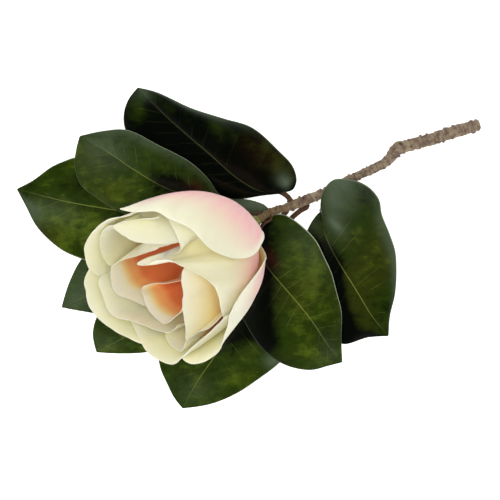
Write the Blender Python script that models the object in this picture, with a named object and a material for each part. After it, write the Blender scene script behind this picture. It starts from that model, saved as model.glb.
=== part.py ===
"""A cut magnolia spray lying on its leaves: a twig, eight leaves and one half-open bloom.

Lengths are written in millimetres and turned into metres where a mesh is made. The floor is
z = 0. Points are written from a mark near the middle of the spray, and MIDDLE is the middle
of the spray's box from that mark, where the origin goes.
"""
import math

import bpy
import numpy as np

MM = 0.001
GAP = 0.3
MIDDLE = (-0.5, 1.5, 0)
CHORD_POWER = 0.8

# Twig: centre line (x, y, z) and radius, from the cut end to the bloom
TWIG_LINE = (
    (183.8, 100.7, 4.8, 4.5), (171, 96.8, 5, 4.7), (157, 92.3, 5.2, 4.8), (144, 88.3, 5.6, 4.7),
    (132, 85.1, 6.1, 4.6), (124, 82.7, 6.7, 4.8), (118.5, 81, 7.2, 5), (115, 77.8, 7.5, 4.6),
    (111.6, 73.2, 7.9, 4.1), (107, 69.2, 8.4, 3.7), (99, 65.1, 9.3, 3.6), (91, 61.5, 10.2, 3.5),
    (80, 56.1, 11.4, 3.4), (65, 48, 12.8, 3.4), (54, 43.5, 13.7, 3.7), (42, 38.7, 14.6, 3.8),
    (34, 35.6, 15, 3.6), (26, 33, 15.3, 2.9), (18.5, 31, 15.3, 2.7), (12.3, 28.2, 15.5, 2.7),
    (9.1, 25.8, 16.5, 2.7), (6.45, 24.1, 18.95, 2.8),
)
TWIG_SIDES = 12
TWIG_RINGS = 72
BARK_DEPTH = 0.28
BARK_SEED = 11
# Knots: place along the twig from 0 to 1, side in degrees, height and half-length in mm
KNOTS = (
    (0.03, 90, 0.5, 3), (0.09, 200, 0.5, 3), (0.14, 95, 0.6, 3), (0.21, 320, 0.5, 4),
    (0.27, 120, 0.5, 4), (0.335, 85, 1.7, 3.2), (0.345, 130, 1.2, 4), (0.43, 280, 0.5, 3),
    (0.50, 60, 0.6, 3), (0.57, 110, 0.8, 3), (0.63, 250, 0.5, 3), (0.70, 300, 0.5, 4),
    (0.77, 290, 0.8, 4), (0.827, 110, 1.0, 4), (0.88, 60, 0.4, 3), (0.95, 80, 0.3, 3),
)

# Bloom: where its axis starts, how far it tips from upright, and which way it faces
BLOOM_ROOT = np.array([-1.6, 19.0, 27.0])
BLOOM_TILT = math.radians(50)
BLOOM_HEADING = math.radians(212.4)
ROOT_RADIUS = 6.0
ROOT_SPREAD = 0.55
BELLY_HEIGHT = 75.0
CROWN_HEIGHT = 62.0
CROWN_LIMIT = 0.97
FULLNESS = 1.3
REACH_POWER = 2.6
PETAL_THICKNESS = 0.9

# Core of the bloom, along its axis: a receptacle (height, radius), the carpel cone on it, and
# the stamens round the cone's foot, as (radius, height) at a stamen and at the notch beside it
RECEPTACLE_TOP = 24.0
RECEPTACLE_SIDES = 20
RECEPTACLE_PROFILE = (
    (-12, 3), (-10.8, 4.3), (-9, 5.1), (-6, 5.4), (-2.5, 5.5), (-0.8, 5.2), (5, 5.2), (14, 5),
    (RECEPTACLE_TOP, 4.9),
)
CONE_HEIGHT = 24.0
CONE_RADIUS = 3.8
CONE_TIP_RADIUS = 0.5
CONE_SIDES = 20
CONE_RINGS = 15
CARPELS_ROUND = 5
CARPEL_RELIEF = 0.16
STAMEN_COUNT = 18
STAMEN_PROFILE = (
    ((4.2, 0), (4.2, 0)), ((4.9, 0), (4.9, 0)), ((5.5, 3), (5.5, 3)),
    ((8.3, 12), (5.8, 5)), ((7.5, 12), (5.1, 5)), ((4.7, 3), (4.7, 3)),
)

# Petals, outermost first. A rim point is azimuth in degrees round the bloom's axis, radius
# and height in mm; azimuth 0 is the side that faces up. "sides" holds the azimuths of the two
# sides at the widest part, and "belly" the radius there, at even places from the first side to
# the last. "reach" is in the same order: the higher, the nearer the rim a petal leaves its globe.
PETALS = {
    "petal_outer_low": dict(
        belly=(61, 61), sides=(138, 222), root=0,
        rim=((147, 78, 94), (153, 80, 105), (157, 82, 109), (163, 83, 110), (170, 86, 111),
             (178, 83, 111), (187, 77, 111), (197, 73, 108), (208, 72, 102), (212, 72, 94))),
    "petal_outer_top": dict(
        belly=(61, 60, 57.5, 54.8, 53.8), sides=(-30, 100), root=2,
        reach=(2.6, 2.6, 2.6, 3.5, 6),
        rim=((-19, 34, 18), (-20, 51, 38), (-23, 55, 52), (-17, 57, 74), (-7, 54, 85),
             (3, 54, 91), (12, 54.5, 93), (19, 57, 95.5), (28, 57, 98), (42, 54, 99), (51, 58, 102),
             (73, 58, 105), (83, 64, 107), (80, 60, 100), (86, 55, 84))),
    "petal_outer_right": dict(
        belly=(60, 60, 57.5, 60.3), sides=(-28, -135), root=4, reach=(2.6, 3, 5, 3.5),
        rim=((-34, 51, 38), (-37, 58, 60), (-44, 59, 79), (-55, 56, 83), (-66, 56, 85),
             (-73, 59, 87), (-81, 63, 90), (-88, 69, 95), (-97, 71, 100), (-110, 72.3, 101),
             (-120, 72, 98), (-131, 71.5, 90))),
    "petal_outer_left": dict(
        belly=(57.5, 50.8), sides=(165, 84), root=6, reach=(2.6, 3, 6),
        rim=((155, 70, 103), (149, 73, 108), (141, 76, 108), (134, 75, 109), (123, 70, 109),
             (113, 66, 109), (100, 62, 108), (93, 59.5, 107), (86, 56, 104), (78, 55.7, 99))),
    "petal_middle_low": dict(
        belly=(56, 56, 54.5, 56.3), sides=(-178, -62), root=8,
        rim=((-168, 65, 100), (-150, 67, 107), (-144, 70, 108), (-136, 70, 109),
             (-120, 68, 109), (-114, 63, 107), (-102, 56.5, 103), (-91, 54, 98),
             (-77, 53.5, 93), (-65, 54.5, 87))),
    "petal_middle_left": dict(
        belly=(54.3, 52, 49.6), sides=(160, 98), root=9, reach=(2.6, 3, 6),
        rim=((148, 58, 99), (143, 58, 103), (133, 62, 104), (124, 63, 105), (114, 62, 105),
             (104, 58, 105), (99, 53, 101))),
    "petal_hood": dict(
        belly=(52, 55, 57.5, 51.5), sides=(45, -85), root=10,
        rim=((50, 48, 90), (38, 43.5, 94), (20, 36, 98), (25, 26, 96), (52, 17, 94),
             (98, 20, 98), (120, 24, 106), (111, 18, 106), (53, 17, 106), (16, 24, 104),
             (0, 27, 101), (-18.5, 33.5, 98), (-28, 43, 97), (-35, 47, 94.5), (-45, 47.5, 92),
             (-54, 48.5, 91), (-65, 51, 88), (-82, 52.5, 78))),
    "petal_inner_tongue": dict(
        belly=(53, 53), sides=(-145, -105), root=11,
        rim=((-140, 55, 93), (-134, 56, 99), (-124, 60, 102), (-117, 61, 102),
             (-115, 55, 97), (-111, 50, 91))),
    "petal_middle_under": dict(
        belly=(52, 50), sides=(150, 235), root=12,
        rim=((155, 67, 102), (159, 70, 106), (168, 68, 108), (178, 70, 109), (182, 68, 109),
             (194, 56, 106), (207, 53, 102), (218, 52, 99), (228, 50, 97), (235, 43, 94))),
    "petal_inner_top": dict(
        belly=(48.5, 47.1), sides=(28, 112), root=14, reach=(2.6, 3.5, 7),
        rim=((30, 34, 92), (45, 29.5, 96), (74, 30, 101), (94, 37, 103.5), (101, 47, 105),
             (102, 56.5, 106), (90, 54.2, 105), (72, 50, 99), (57, 50, 93))),
    "petal_inner_left": dict(
        belly=(47.5, 44.5), sides=(121, 60), root=15.5,
        rim=((122, 35.5, 89.5), (119, 31.3, 94.5), (111, 28, 96), (91, 23, 96), (64, 24, 94),
             (43, 28, 92), (35, 32, 88))),
    "petal_cup": dict(
        belly=(43, 43), sides=(70, 200), root=17,
        rim=((34, 32, 85), (45, 27, 88), (64, 24, 90), (91, 22.5, 92), (110, 25.5, 93.5),
             (126, 32.4, 96.5), (139, 46, 102), (146, 53, 103), (153, 56, 103), (162, 60, 102),
             (170, 63, 100), (178, 58, 95), (191, 53, 89))),
    "petal_inner_right": dict(
        belly=(40, 40), sides=(-10, -110), root=20,
        rim=((-4, 21, 88), (-4, 20, 94), (-23, 16, 97), (-68, 19, 98), (-92, 24, 98),
             (-108, 43, 98), (-114, 55, 97), (-104, 51, 93), (-94, 52, 88), (-77, 50, 80))),
    "petal_spoon": dict(
        belly=(37, 37), sides=(185, 235), root=22,
        rim=((204, 22, 70), (186, 34, 76), (177, 44, 81), (176, 48, 86), (183, 47, 90),
             (193, 49, 92), (207, 50, 93), (216, 49, 93), (227, 40, 91), (236, 33, 88),
             (238, 25, 83))),
}
PETAL_ROWS = 9
FEWEST_COLUMNS = 6
MOST_COLUMNS = 10
COLUMN_SPAN = 10

# Leaves: where the stalk leaves the twig (0 at its cut end, 1 at the bloom) and its bends,
# the rib from foot to tip, and the two margins, all (x, y, z)
LEAF_THICKNESS = 0.9
LEAF_COLUMNS = (-1, -0.6, -0.25, -0.05, 0, 0.05, 0.25, 0.6, 1)
LEAF_ROWS = 11
BLADE_SPAN = (0.045, 0.988)
STALK_RADIUS = 1.7
STALK_START = 1.2
SEAT_GAP = 0.35
STALK_PLACES = (0, 0.15, 0.45, 0.75, 1)
RIB_DEPTH = 0.9
LEAVES = {
    "leaf_bottom": dict(
        camber=0, rib_side=1,
        joins=0.875, stalk=((23.5, 26, 7.8), (14, 13, 3.6)),
        rib=((2, 4, 2), (-12, -6, 1), (-28, -17, 0.45), (-56, -38, 0.45), (-88, -62, 0.45),
             (-123, -82, 0.45)),
        right=((2, 4, 2), (-18, 6, 1.3), (-52, -3, 0.45), (-84, -21, 0.45),
               (-111, -40, 0.45), (-123, -54, 0.45), (-126, -67, 0.45), (-123, -82, 0.45)),
        left=((2, 4, 2), (-2, -14, 1), (-12, -36, 0.45), (-32, -58, 0.45), (-58, -75, 0.45),
              (-83, -82, 0.45), (-104, -83, 0.45), (-123, -82, 0.45))),
    "leaf_lower_left": dict(
        camber=1, rib_side=-1,
        joins=0.91, stalk=((19.5, 32, 9.6),),
        rib=((15.5, 31.2, 8.5), (-8, 20, 7), (-40, 6, 5), (-80, -13, 3.7), (-116, -30, 3),
             (-151, -46, 1.5)),
        right=((15.5, 32, 8.5), (12, 35.8, 8.9), (5, 38.8, 9.3), (-4, 40.7, 9.5),
               (-24, 41, 8.5), (-48, 36, 7), (-76, 26, 5.2), (-108, 12, 4), (-134, -6, 3.2),
               (-144, -24, 2.4), (-151, -46, 1.5)),
        left=((15.5, 30.2, 8.5), (6, 18, 7.6), (-10, -1, 6), (-36, -22, 4), (-68, -37, 3.3),
              (-100, -48, 2.8), (-120, -51, 2.4), (-135, -49, 1.9), (-151, -46, 1.5))),
    "leaf_left": dict(
        camber=2, rib_side=-1,
        joins=0.962, stalk=((6, 21.5, 13.8), (1.8, 16.8, 13.8)),
        rib=((-2, 14, 14), (-20, 17, 11), (-56, 22, 9.5), (-103, 31, 7.5),
             (-148, 39, 4.5), (-187, 49, 0.45)),
        right=((-2, 15, 14), (-11, 24, 13), (-36, 38, 10.5), (-72, 56, 8.5), (-108, 70, 7),
               (-140, 74, 6), (-149, 71, 5), (-158, 67, 4), (-175, 55, 2), (-187, 49, 0.45)),
        left=((-2, 14, 14), (-20, 3, 8.5), (-56, -9, 6.4), (-96, -14, 6.3), (-120, -12, 6),
              (-135, -7, 5.5), (-149, -1, 4.5), (-162, 9, 3.5), (-171, 19, 2.5),
              (-180, 36, 1.5), (-187, 49, 0.45))),
    "leaf_upper_left": dict(
        camber=3, rib_side=-1,
        joins=0.972, stalk=((4.3, 28.6, 18.3), (-1, 29.4, 18.8)), stalk_radius=1.2,
        rib=((-6, 30, 18.5), (-20, 35, 19.5), (-41, 41, 20), (-66, 49, 19), (-94, 65, 17),
             (-110, 76, 14.5), (-136, 91, 10)),
        right=((-6, 30, 18.5), (-14, 37, 19), (-25, 45, 19.5), (-33, 56.5, 18.7),
               (-47, 69.5, 18), (-72, 83, 17), (-100, 96, 14), (-117, 95, 12), (-136, 91, 10)),
        left=((-6, 29, 18.5), (-19, 24, 16.5), (-48, 22, 15), (-76, 25, 15.5),
              (-103, 30, 14.5), (-123, 42, 13), (-135, 52, 12), (-140, 67, 11),
              (-139, 79, 10.5), (-136, 91, 10))),
    "leaf_top": dict(
        camber=3, rib_side=-1,
        joins=0.84, stalk=((30.8, 41.7, 15),), stalk_radius=2.1,
        rib=((26, 45.5, 14.5), (8, 47, 15), (-7, 55, 15), (-34, 78, 13), (-66, 106, 8.5),
             (-90, 130, 3.5)),
        right=((26, 46.5, 14.5), (34, 48, 15), (37, 54, 16), (35, 65, 17), (22, 80, 17.5),
               (1, 98, 15), (-21, 105, 11), (-46, 113, 9.5), (-77, 127, 5.5),
               (-90, 130, 3.5)),
        left=((26, 45, 14.5), (10, 43.4, 13.5), (-10, 40.7, 11.5), (-36, 46, 9), (-66, 66, 6.5),
              (-90, 83, 5), (-100, 97, 4.5), (-101, 109, 5), (-98, 119, 4.5),
              (-90, 130, 3.5))),
    "leaf_lower": dict(
        camber=1.5, rib_side=-1,
        joins=0.796, stalk=((40.5, 31.6, 10.5), (33, 25.2, 9)), stalk_radius=2.1,
        rib=((26, 15, 8.5), (10, -20, 7), (-8, -50, 5.5), (-27, -83, 4), (-42, -105, 2.2),
             (-54, -127, 0.45)),
        right=((26, 16, 8.5), (18, 10, 7.5), (-4, -2, 6), (-32, -20, 4.8), (-58, -42, 4),
               (-71, -62, 3.5), (-74, -77, 3), (-72, -94, 2.2), (-66, -108, 1.6),
               (-61, -118, 1.2), (-54, -127, 0.45)),
        left=((27, 15, 8.5), (37, -2, 6.5), (42, -28, 5), (42, -54, 4), (34, -78, 3),
              (23, -91, 2.2), (6, -104, 1.6), (-9, -114, 1.2), (-30, -123, 0.9),
              (-54, -127, 0.45))),
    "leaf_lower_right": dict(
        camber=2.5, rib_side=-1,
        joins=0.945, stalk=((10.8, 20.5, 16.6), (8, 15.5, 17.2)), stalk_radius=1.2,
        rib=((6, 12, 17), (8, 0, 17), (13, -12, 16.5), (24, -26, 15.5), (37, -41, 13),
             (49, -56, 10), (63, -77, 4), (74, -90, 0.45)),
        left=((6, 13, 17), (9, 21, 11.4), (14, 25.8, 10.8), (20, 28.3, 11.2),
              (27, 28.3, 12), (34, 24.8, 13), (45, 16, 14), (53, 7, 13.5), (59, -5, 12.8),
              (65, -18, 12), (69, -33, 11), (73, -49, 9), (73, -70, 5), (74, -90, 0.45)),
        right=((5, 11, 17), (-2, 2, 13.5), (-6, -14, 11), (-10, -32, 10), (-9, -46, 9.5),
               (-3, -60, 8.5), (9, -78, 7), (24, -90, 5), (38, -95, 3.5), (50, -96, 2.5),
               (62, -93, 1.4), (74, -90, 0.45))),
    "leaf_right": dict(
        camber=1.5, rib_side=-1,
        joins=0.69, stalk=((61, 40, 8.6), (58.3, 35, 8.7)),
        rib=((57, 31, 9.5), (61, 10, 12), (72, -12, 11.5), (81, -26, 10), (89, -39, 7.5),
             (97, -52, 4.8), (111, -69, 0.45)),
        left=((56.5, 32, 9.5), (56.2, 36, 15), (57.2, 43, 19), (60, 50, 20.5), (66.5, 56, 21),
              (75, 56.7, 20.5), (86, 54.7, 19), (96, 49, 17.5), (103, 40, 16), (105, 29, 15),
              (111, 14, 13), (116, -1, 11), (117, -14, 9.5), (116, -35, 7), (112, -53, 4),
              (111, -69, 0.45)),
        right=((56, 31, 9.5), (49.3, 22.5, 6.8), (45.5, 14, 5), (47, -6, 3.5), (53, -32, 2.5),
               (60, -58, 1.6), (73, -75, 1.1), (95, -70, 1), (111, -69, 0.45))),
}

# Looks of the plain materials: colour, roughness
CREAM = ((0.86, 0.80, 0.58), 0.55)
BLUSH = ((0.87, 0.66, 0.60), 0.55)
APRICOT = ((0.80, 0.50, 0.30), 0.55)
LEAF_GREEN = ((0.035, 0.085, 0.018), 0.35)
BARK = ((0.20, 0.13, 0.09), 0.85)
BUD_GREEN = ((0.30, 0.34, 0.14), 0.6)
STAMEN = ((0.78, 0.62, 0.38), 0.6)


def clear_scene():
    for item in list(bpy.data.objects):
        bpy.data.objects.remove(item, do_unlink=True)


def make_material(name, look):
    colour, roughness = look
    material = bpy.data.materials.new(name)
    material.use_nodes = True
    shader = material.node_tree.nodes["Principled BSDF"]
    shader.inputs["Base Color"].default_value = (*colour, 1)
    shader.inputs["Roughness"].default_value = roughness
    return material


def make_object(name, points, faces, look):
    """Points in mm from the mark; each face's points run counterclockwise seen from outside."""
    mesh = bpy.data.meshes.new(name)
    mesh.from_pydata(((np.asarray(points) - MIDDLE) * MM).tolist(), [], faces)
    mesh.shade_smooth()
    mesh.materials.append(make_material(name + "_finish", look))
    item = bpy.data.objects.new(name, mesh)
    bpy.context.scene.collection.objects.link(item)
    return item


def smooth_curve(points, at):
    """A smooth curve through the points, read at places from 0 to 1 along it."""
    p = np.asarray(points, float)
    chord = np.linalg.norm(np.diff(p, axis=0), axis=1) ** CHORD_POWER
    knots = np.concatenate([[0], np.cumsum(chord)])
    knots /= knots[-1]
    step = np.diff(knots)[:, None]
    rate = np.diff(p, axis=0) / step
    slope = np.empty_like(p)
    slope[1:-1] = (rate[:-1] * step[1:] + rate[1:] * step[:-1]) / (step[1:] + step[:-1])
    slope[0] = 1.5 * rate[0] - 0.5 * slope[1]
    slope[-1] = 1.5 * rate[-1] - 0.5 * slope[-2]
    at = np.asarray(at, float)
    i = np.clip(np.searchsorted(knots, at, side="right") - 1, 0, len(p) - 2)
    w = (knots[i + 1] - knots[i])[:, None]
    u = ((at - knots[i]) / (knots[i + 1] - knots[i]))[:, None]
    return ((2 * u**3 - 3 * u**2 + 1) * p[i] + (u**3 - 2 * u**2 + u) * w * slope[i]
            + (3 * u**2 - 2 * u**3) * p[i + 1] + (u**3 - u**2) * w * slope[i + 1])


def bloom_axes():
    """Along the bloom, towards its upward side, and across it."""
    lean, turn = BLOOM_TILT, BLOOM_HEADING
    along = np.array([math.sin(lean) * math.cos(turn), math.sin(lean) * math.sin(turn),
                      math.cos(lean)])
    front = np.array([-math.cos(lean) * math.cos(turn), -math.cos(lean) * math.sin(turn),
                      math.sin(lean)])
    return along, front, np.cross(along, front)


ALONG, FRONT, ACROSS = bloom_axes()


def bloom_point(azimuth, radius, height):
    azimuth, radius, height = np.broadcast_arrays(azimuth, radius, height)
    return (BLOOM_ROOT + height[..., None] * ALONG
            + (radius * np.cos(azimuth))[..., None] * FRONT
            + (radius * np.sin(azimuth))[..., None] * ACROSS)


def evenly(values, places):
    """Values that stand at even places from 0 to 1, read at others."""
    return np.interp(places, np.linspace(0, 1, len(values)), values)


def petal_sheet(petal, rows, columns):
    """The middle surface of a petal, from its root to its rim.

    Each column follows the meridian of a globe and is then drawn out to the rim.
    """
    a = np.linspace(0, 1, columns + 1)
    azimuth, radius, height = np.array(petal["rim"], float).T
    rim = smooth_curve(bloom_point(np.radians(azimuth), radius, height), a)
    rim_height = (rim - BLOOM_ROOT) @ ALONG
    belly_azimuth = np.radians(np.interp(a, (0, 1), petal["sides"]))
    middle = belly_azimuth.mean()
    root_azimuth = middle + (belly_azimuth - middle) * ROOT_SPREAD
    belly = evenly(petal["belly"], a)
    below = BELLY_HEIGHT - petal["root"]
    past_belly = rim_height - BELLY_HEIGHT
    rise = past_belly / np.where(past_belly > 0, CROWN_HEIGHT, below)
    end = np.arcsin(np.clip(rise, -CROWN_LIMIT, CROWN_LIMIT))
    start = -np.arccos((ROOT_RADIUS / belly) ** (1 / FULLNESS))
    q = np.linspace(0, 1, rows + 1)[:, None]
    angle = start + (end - start) * q
    globe_height = BELLY_HEIGHT + np.where(angle < 0, below, CROWN_HEIGHT) * np.sin(angle)
    opening = np.clip((angle - start) / (0.5 * math.pi), 0, 1)
    opening = opening * opening * (3 - 2 * opening)
    globe = bloom_point(root_azimuth + (belly_azimuth - root_azimuth) * opening,
                        belly * np.cos(angle) ** FULLNESS, globe_height)
    power = evenly(petal.get("reach", (REACH_POWER,)), a)
    return globe + (q**power)[..., None] * (rim - globe[-1])


def make_petal(name, petal, look):
    first, last = petal["sides"]
    columns = round(abs(last - first) / COLUMN_SPAN)
    columns = min(MOST_COLUMNS, max(FEWEST_COLUMNS, columns))
    sheet = petal_sheet(petal, PETAL_ROWS, columns)
    width = columns + 1
    faces = []
    for i in range(PETAL_ROWS):
        for j in range(columns):
            a, b = i * width + j, (i + 1) * width + j
            faces += [(a, b, b + 1), (a, b + 1, a + 1)]
    item = make_object(name, sheet.reshape(-1, 3), faces, look)
    body = item.modifiers.new("Thickness", "SOLIDIFY")
    body.thickness = PETAL_THICKNESS * MM
    body.offset = 0
    return item


def loft_faces(rings, sides):
    """Triangles of a closed tube of rings, with a fan at each end."""
    faces = []
    for i in range(rings - 1):
        for j in range(sides):
            a, b = i * sides + j, i * sides + (j + 1) % sides
            faces += [(a, b, b + sides), (a, b + sides, a + sides)]
    last = (rings - 1) * sides
    for j in range(1, sides - 1):
        faces += [(0, j + 1, j), (last, last + j, last + j + 1)]
    return faces


def tube_frames(path):
    """Two directions square to a path at each of its points, without twist."""
    ahead = np.gradient(path, axis=0)
    ahead /= np.linalg.norm(ahead, axis=1, keepdims=True)
    up = np.tile([0.0, 0.0, 1.0], (len(path), 1))
    above = up - ahead * np.sum(up * ahead, axis=1, keepdims=True)
    above /= np.linalg.norm(above, axis=1, keepdims=True)
    return np.cross(above, ahead), above


def twig_course():
    """Centre line, radius, length run so far and the two cross directions of the twig."""
    line = smooth_curve(TWIG_LINE, np.linspace(0, 1, TWIG_RINGS))
    path, radius = line[:, :3], line[:, 3]
    run = np.concatenate([[0], np.cumsum(np.linalg.norm(np.diff(path, axis=0), axis=1))])
    side, above = tube_frames(path)
    return path, radius, run / run[-1], side, above, run[-1]


def knot_rise(run, turn, length):
    """How far the knots stand out at a place along the twig and an angle round it."""
    rise = 0
    for place, face, height, half_length in KNOTS:
        near = np.exp(-(((run - place) * length / half_length) ** 2))
        rise = rise + height * near * np.clip(np.cos(turn - math.radians(face)), 0, 1) ** 2
    return rise


def make_twig():
    path, radius, run, side, above, length = twig_course()
    turn = 2 * math.pi * np.arange(TWIG_SIDES) / TWIG_SIDES
    draw = np.random.default_rng(BARK_SEED)
    bark = BARK_DEPTH * draw.uniform(-1, 1, (TWIG_RINGS, TWIG_SIDES))
    radius = radius[:, None] + knot_rise(run[:, None], turn, length) + bark
    rings = (path[:, None] + radius[..., None]
             * (np.cos(turn)[None, :, None] * side[:, None]
                + np.sin(turn)[None, :, None] * above[:, None]))
    rings[..., 2] = np.maximum(rings[..., 2], 0)
    return make_object("twig", rings.reshape(-1, 3), loft_faces(TWIG_RINGS, TWIG_SIDES), BARK)


def twig_seat(place, towards):
    """Where a stalk starts, just clear of the bark, and a point straight out from there."""
    path, radius, run, side, above, length = twig_course()
    ring = int(np.argmin(np.abs(run - place)))
    centre, side, above = path[ring], side[ring], above[ring]
    way = np.asarray(towards, float) - centre
    turn = math.atan2(way @ above, way @ side)
    reach = radius[ring] + knot_rise(run[ring], turn, length) + BARK_DEPTH + SEAT_GAP
    way = math.cos(turn) * side + math.sin(turn) * above
    return centre + reach * way, centre + (reach + STALK_START) * way


def sheet_normals(sheet):
    normal = np.cross(np.gradient(sheet, axis=0), np.gradient(sheet, axis=1))
    return normal / np.linalg.norm(normal, axis=-1, keepdims=True)


def blade_sheet(leaf, places, columns):
    """The middle surface of a leaf blade between its rib and its two margins."""
    rib = smooth_curve(leaf["rib"], places)[:, None]
    left = smooth_curve(leaf["left"], places)[:, None]
    right = smooth_curve(leaf["right"], places)[:, None]
    t = np.asarray(columns, float)[None, :, None]
    sheet = rib + np.where(t < 0, -t * (left - rib), t * (right - rib))
    rise = 4 * np.abs(t) * (1 - np.abs(t)) * np.sin(math.pi * places)[:, None, None]
    sheet[..., 2:] += leaf["camber"] * rise
    sheet[..., 2] = np.maximum(sheet[..., 2], LEAF_THICKNESS / 2)
    return sheet


def blade_rings(leaf):
    """Closed rings round a leaf blade, each from its left margin over the top and back."""
    places = np.linspace(*BLADE_SPAN, LEAF_ROWS)
    sheet = blade_sheet(leaf, places, LEAF_COLUMNS)
    upward = -sheet_normals(sheet)
    rib = np.zeros((LEAF_ROWS, len(LEAF_COLUMNS), 1))
    rib[:, len(LEAF_COLUMNS) // 2] = RIB_DEPTH * (1 - places[:, None])
    half = LEAF_THICKNESS / 2
    upper = sheet + upward * (half + rib * (leaf["rib_side"] > 0))
    lower = sheet - upward * (half + rib * (leaf["rib_side"] < 0))
    return np.concatenate([upper, lower[:, ::-1]], axis=1)


def stalk_rings(leaf, across):
    """Round rings from the twig to the blade; across is the way to the blade's left."""
    start = twig_seat(leaf["joins"], leaf["stalk"][0])
    path = smooth_curve([*start, *leaf["stalk"], leaf["rib"][0]], STALK_PLACES)
    ahead = np.gradient(path, axis=0)
    ahead[0] = start[1] - start[0]
    ahead /= np.linalg.norm(ahead, axis=1, keepdims=True)
    side = across - ahead * (ahead @ across)[:, None]
    side /= np.linalg.norm(side, axis=1, keepdims=True)
    above = np.cross(ahead, side)
    turn = (math.pi * (np.arange(2 * len(LEAF_COLUMNS)) + 0.5) / len(LEAF_COLUMNS))[:, None]
    radius = leaf.get("stalk_radius", STALK_RADIUS)
    return path[:, None] + radius * (np.cos(turn) * side[:, None]
                                     + np.sin(turn) * above[:, None])


def make_leaf(name, leaf):
    blade = blade_rings(leaf)
    stalk = stalk_rings(leaf, blade[0, 0] - blade[0, len(LEAF_COLUMNS) - 1])
    rings = np.concatenate([stalk, blade])
    return make_object(name, rings.reshape(-1, 3), loft_faces(*rings.shape[:2]), LEAF_GREEN)


def make_turned(name, heights, radii, look):
    """A body round the bloom's axis, with a height for each ring and a radius for each point."""
    sides = radii.shape[1]
    turn = 2 * math.pi * np.arange(sides) / sides
    rings = bloom_point(turn, radii, heights[:, None])
    return make_object(name, rings.reshape(-1, 3), loft_faces(len(heights), sides), look)


def make_receptacle():
    height, radius = np.array(RECEPTACLE_PROFILE, float).T
    radii = np.tile(radius[:, None], RECEPTACLE_SIDES)
    return make_turned("receptacle", height, radii, BUD_GREEN)


def make_carpel_cone():
    """A cone of carpels in crossing rows, raised from its surface."""
    rise = np.linspace(0, 1, CONE_RINGS)[:, None]
    turn = 2 * math.pi * np.arange(CONE_SIDES) / CONE_SIDES
    body = CONE_TIP_RADIUS + (CONE_RADIUS - CONE_TIP_RADIUS) * (1 - rise**2.2) ** 0.6
    carpel = np.cos(CARPELS_ROUND * turn + math.pi * np.arange(CONE_RINGS)[:, None])
    radii = body * (1 + CARPEL_RELIEF * carpel * np.sin(math.pi * rise))
    height = RECEPTACLE_TOP + GAP + CONE_HEIGHT * rise[:, 0]
    return make_turned("carpel_cone", height, radii, BUD_GREEN)


def make_stamens():
    """A collar round the foot of the cone, whose rim is cut into upright stamens."""
    sides = 2 * STAMEN_COUNT
    turn = 2 * math.pi * np.arange(sides) / sides
    stands = np.arange(sides) % 2 == 0
    rings = []
    for tip, notch in STAMEN_PROFILE:
        radius, height = np.where(stands[:, None], tip, notch).T
        rings.append(bloom_point(turn, radius, RECEPTACLE_TOP + GAP + height))
    last = len(rings) * sides
    faces = []
    for i in range(len(rings)):
        for j in range(sides):
            a, b = i * sides + j, i * sides + (j + 1) % sides
            c, d = (b + sides) % last, (a + sides) % last
            faces += [(a, b, c), (a, c, d)] if j % 2 else [(a, b, d), (b, c, d)]
    return make_object("stamens", np.reshape(rings, (-1, 3)), faces, STAMEN)


def petal_look(name):
    if name in ("petal_outer_top", "petal_outer_right"):
        return BLUSH
    return APRICOT if name in ("petal_cup", "petal_spoon") else CREAM


def main():
    clear_scene()
    make_twig()
    make_receptacle()
    make_carpel_cone()
    make_stamens()
    for name, petal in PETALS.items():
        make_petal(name, petal, petal_look(name))
    for name, leaf in LEAVES.items():
        make_leaf(name, leaf)


main()
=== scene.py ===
"""The looks of a cut magnolia spray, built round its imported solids.

Lengths are written in millimetres and turned into metres where a mesh is made. Points are
written from a mark near the middle of the spray, and MIDDLE is the middle of the spray's box
from that mark, where the origin is. Colours are written as screen values from 0 to 255.
"""
import math

import bpy
import numpy as np
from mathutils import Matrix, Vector, noise


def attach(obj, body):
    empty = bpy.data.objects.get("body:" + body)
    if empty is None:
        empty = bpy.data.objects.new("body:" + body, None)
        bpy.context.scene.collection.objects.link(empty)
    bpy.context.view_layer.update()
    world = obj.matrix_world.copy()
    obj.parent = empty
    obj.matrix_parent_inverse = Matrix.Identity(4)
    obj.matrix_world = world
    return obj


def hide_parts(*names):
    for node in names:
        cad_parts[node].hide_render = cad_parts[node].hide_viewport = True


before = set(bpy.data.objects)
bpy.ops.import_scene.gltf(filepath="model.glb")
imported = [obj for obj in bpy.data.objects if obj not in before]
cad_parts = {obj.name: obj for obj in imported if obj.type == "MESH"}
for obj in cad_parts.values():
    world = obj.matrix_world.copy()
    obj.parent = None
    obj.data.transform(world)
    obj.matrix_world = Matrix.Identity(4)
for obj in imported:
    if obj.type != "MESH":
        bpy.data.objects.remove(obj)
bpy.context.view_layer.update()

MM = 0.001
TINY = 1e-9
# Clear space between the pieces of the bloom's core
GAP = 0.3
MIDDLE = (-0.5, 1.5, 0)
# How a curve runs past its points: 0 is evenly from each to the next, 1 by their distances
CHORD_POWER = 0.8
SEED = 7
LEAF_SEED = 107

# Floor: half its side in metres, how far it lies under the spray, and how much it glows
FLOOR_HALF = 3.0
FLOOR_DROP = 0.2
FLOOR_GLOW = 0.8

# Light from the surround, straight above and around, and the band of heights it changes in
ZENITH_LIGHT = 0.06
AROUND_LIGHT = 0.68
ZENITH_BAND = (0.86, 0.62)
# Lamps and the point they are aimed at, in metres
LAMP_TARGET = (0, 0, 0.03)
LAMPS = {
    "over": dict(place=(0, 0, 1.9), size=1.2, watts=19.5),
    "front": dict(place=(-1.3, -0.83, 1.1), size=0.9, watts=9),
}

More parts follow.
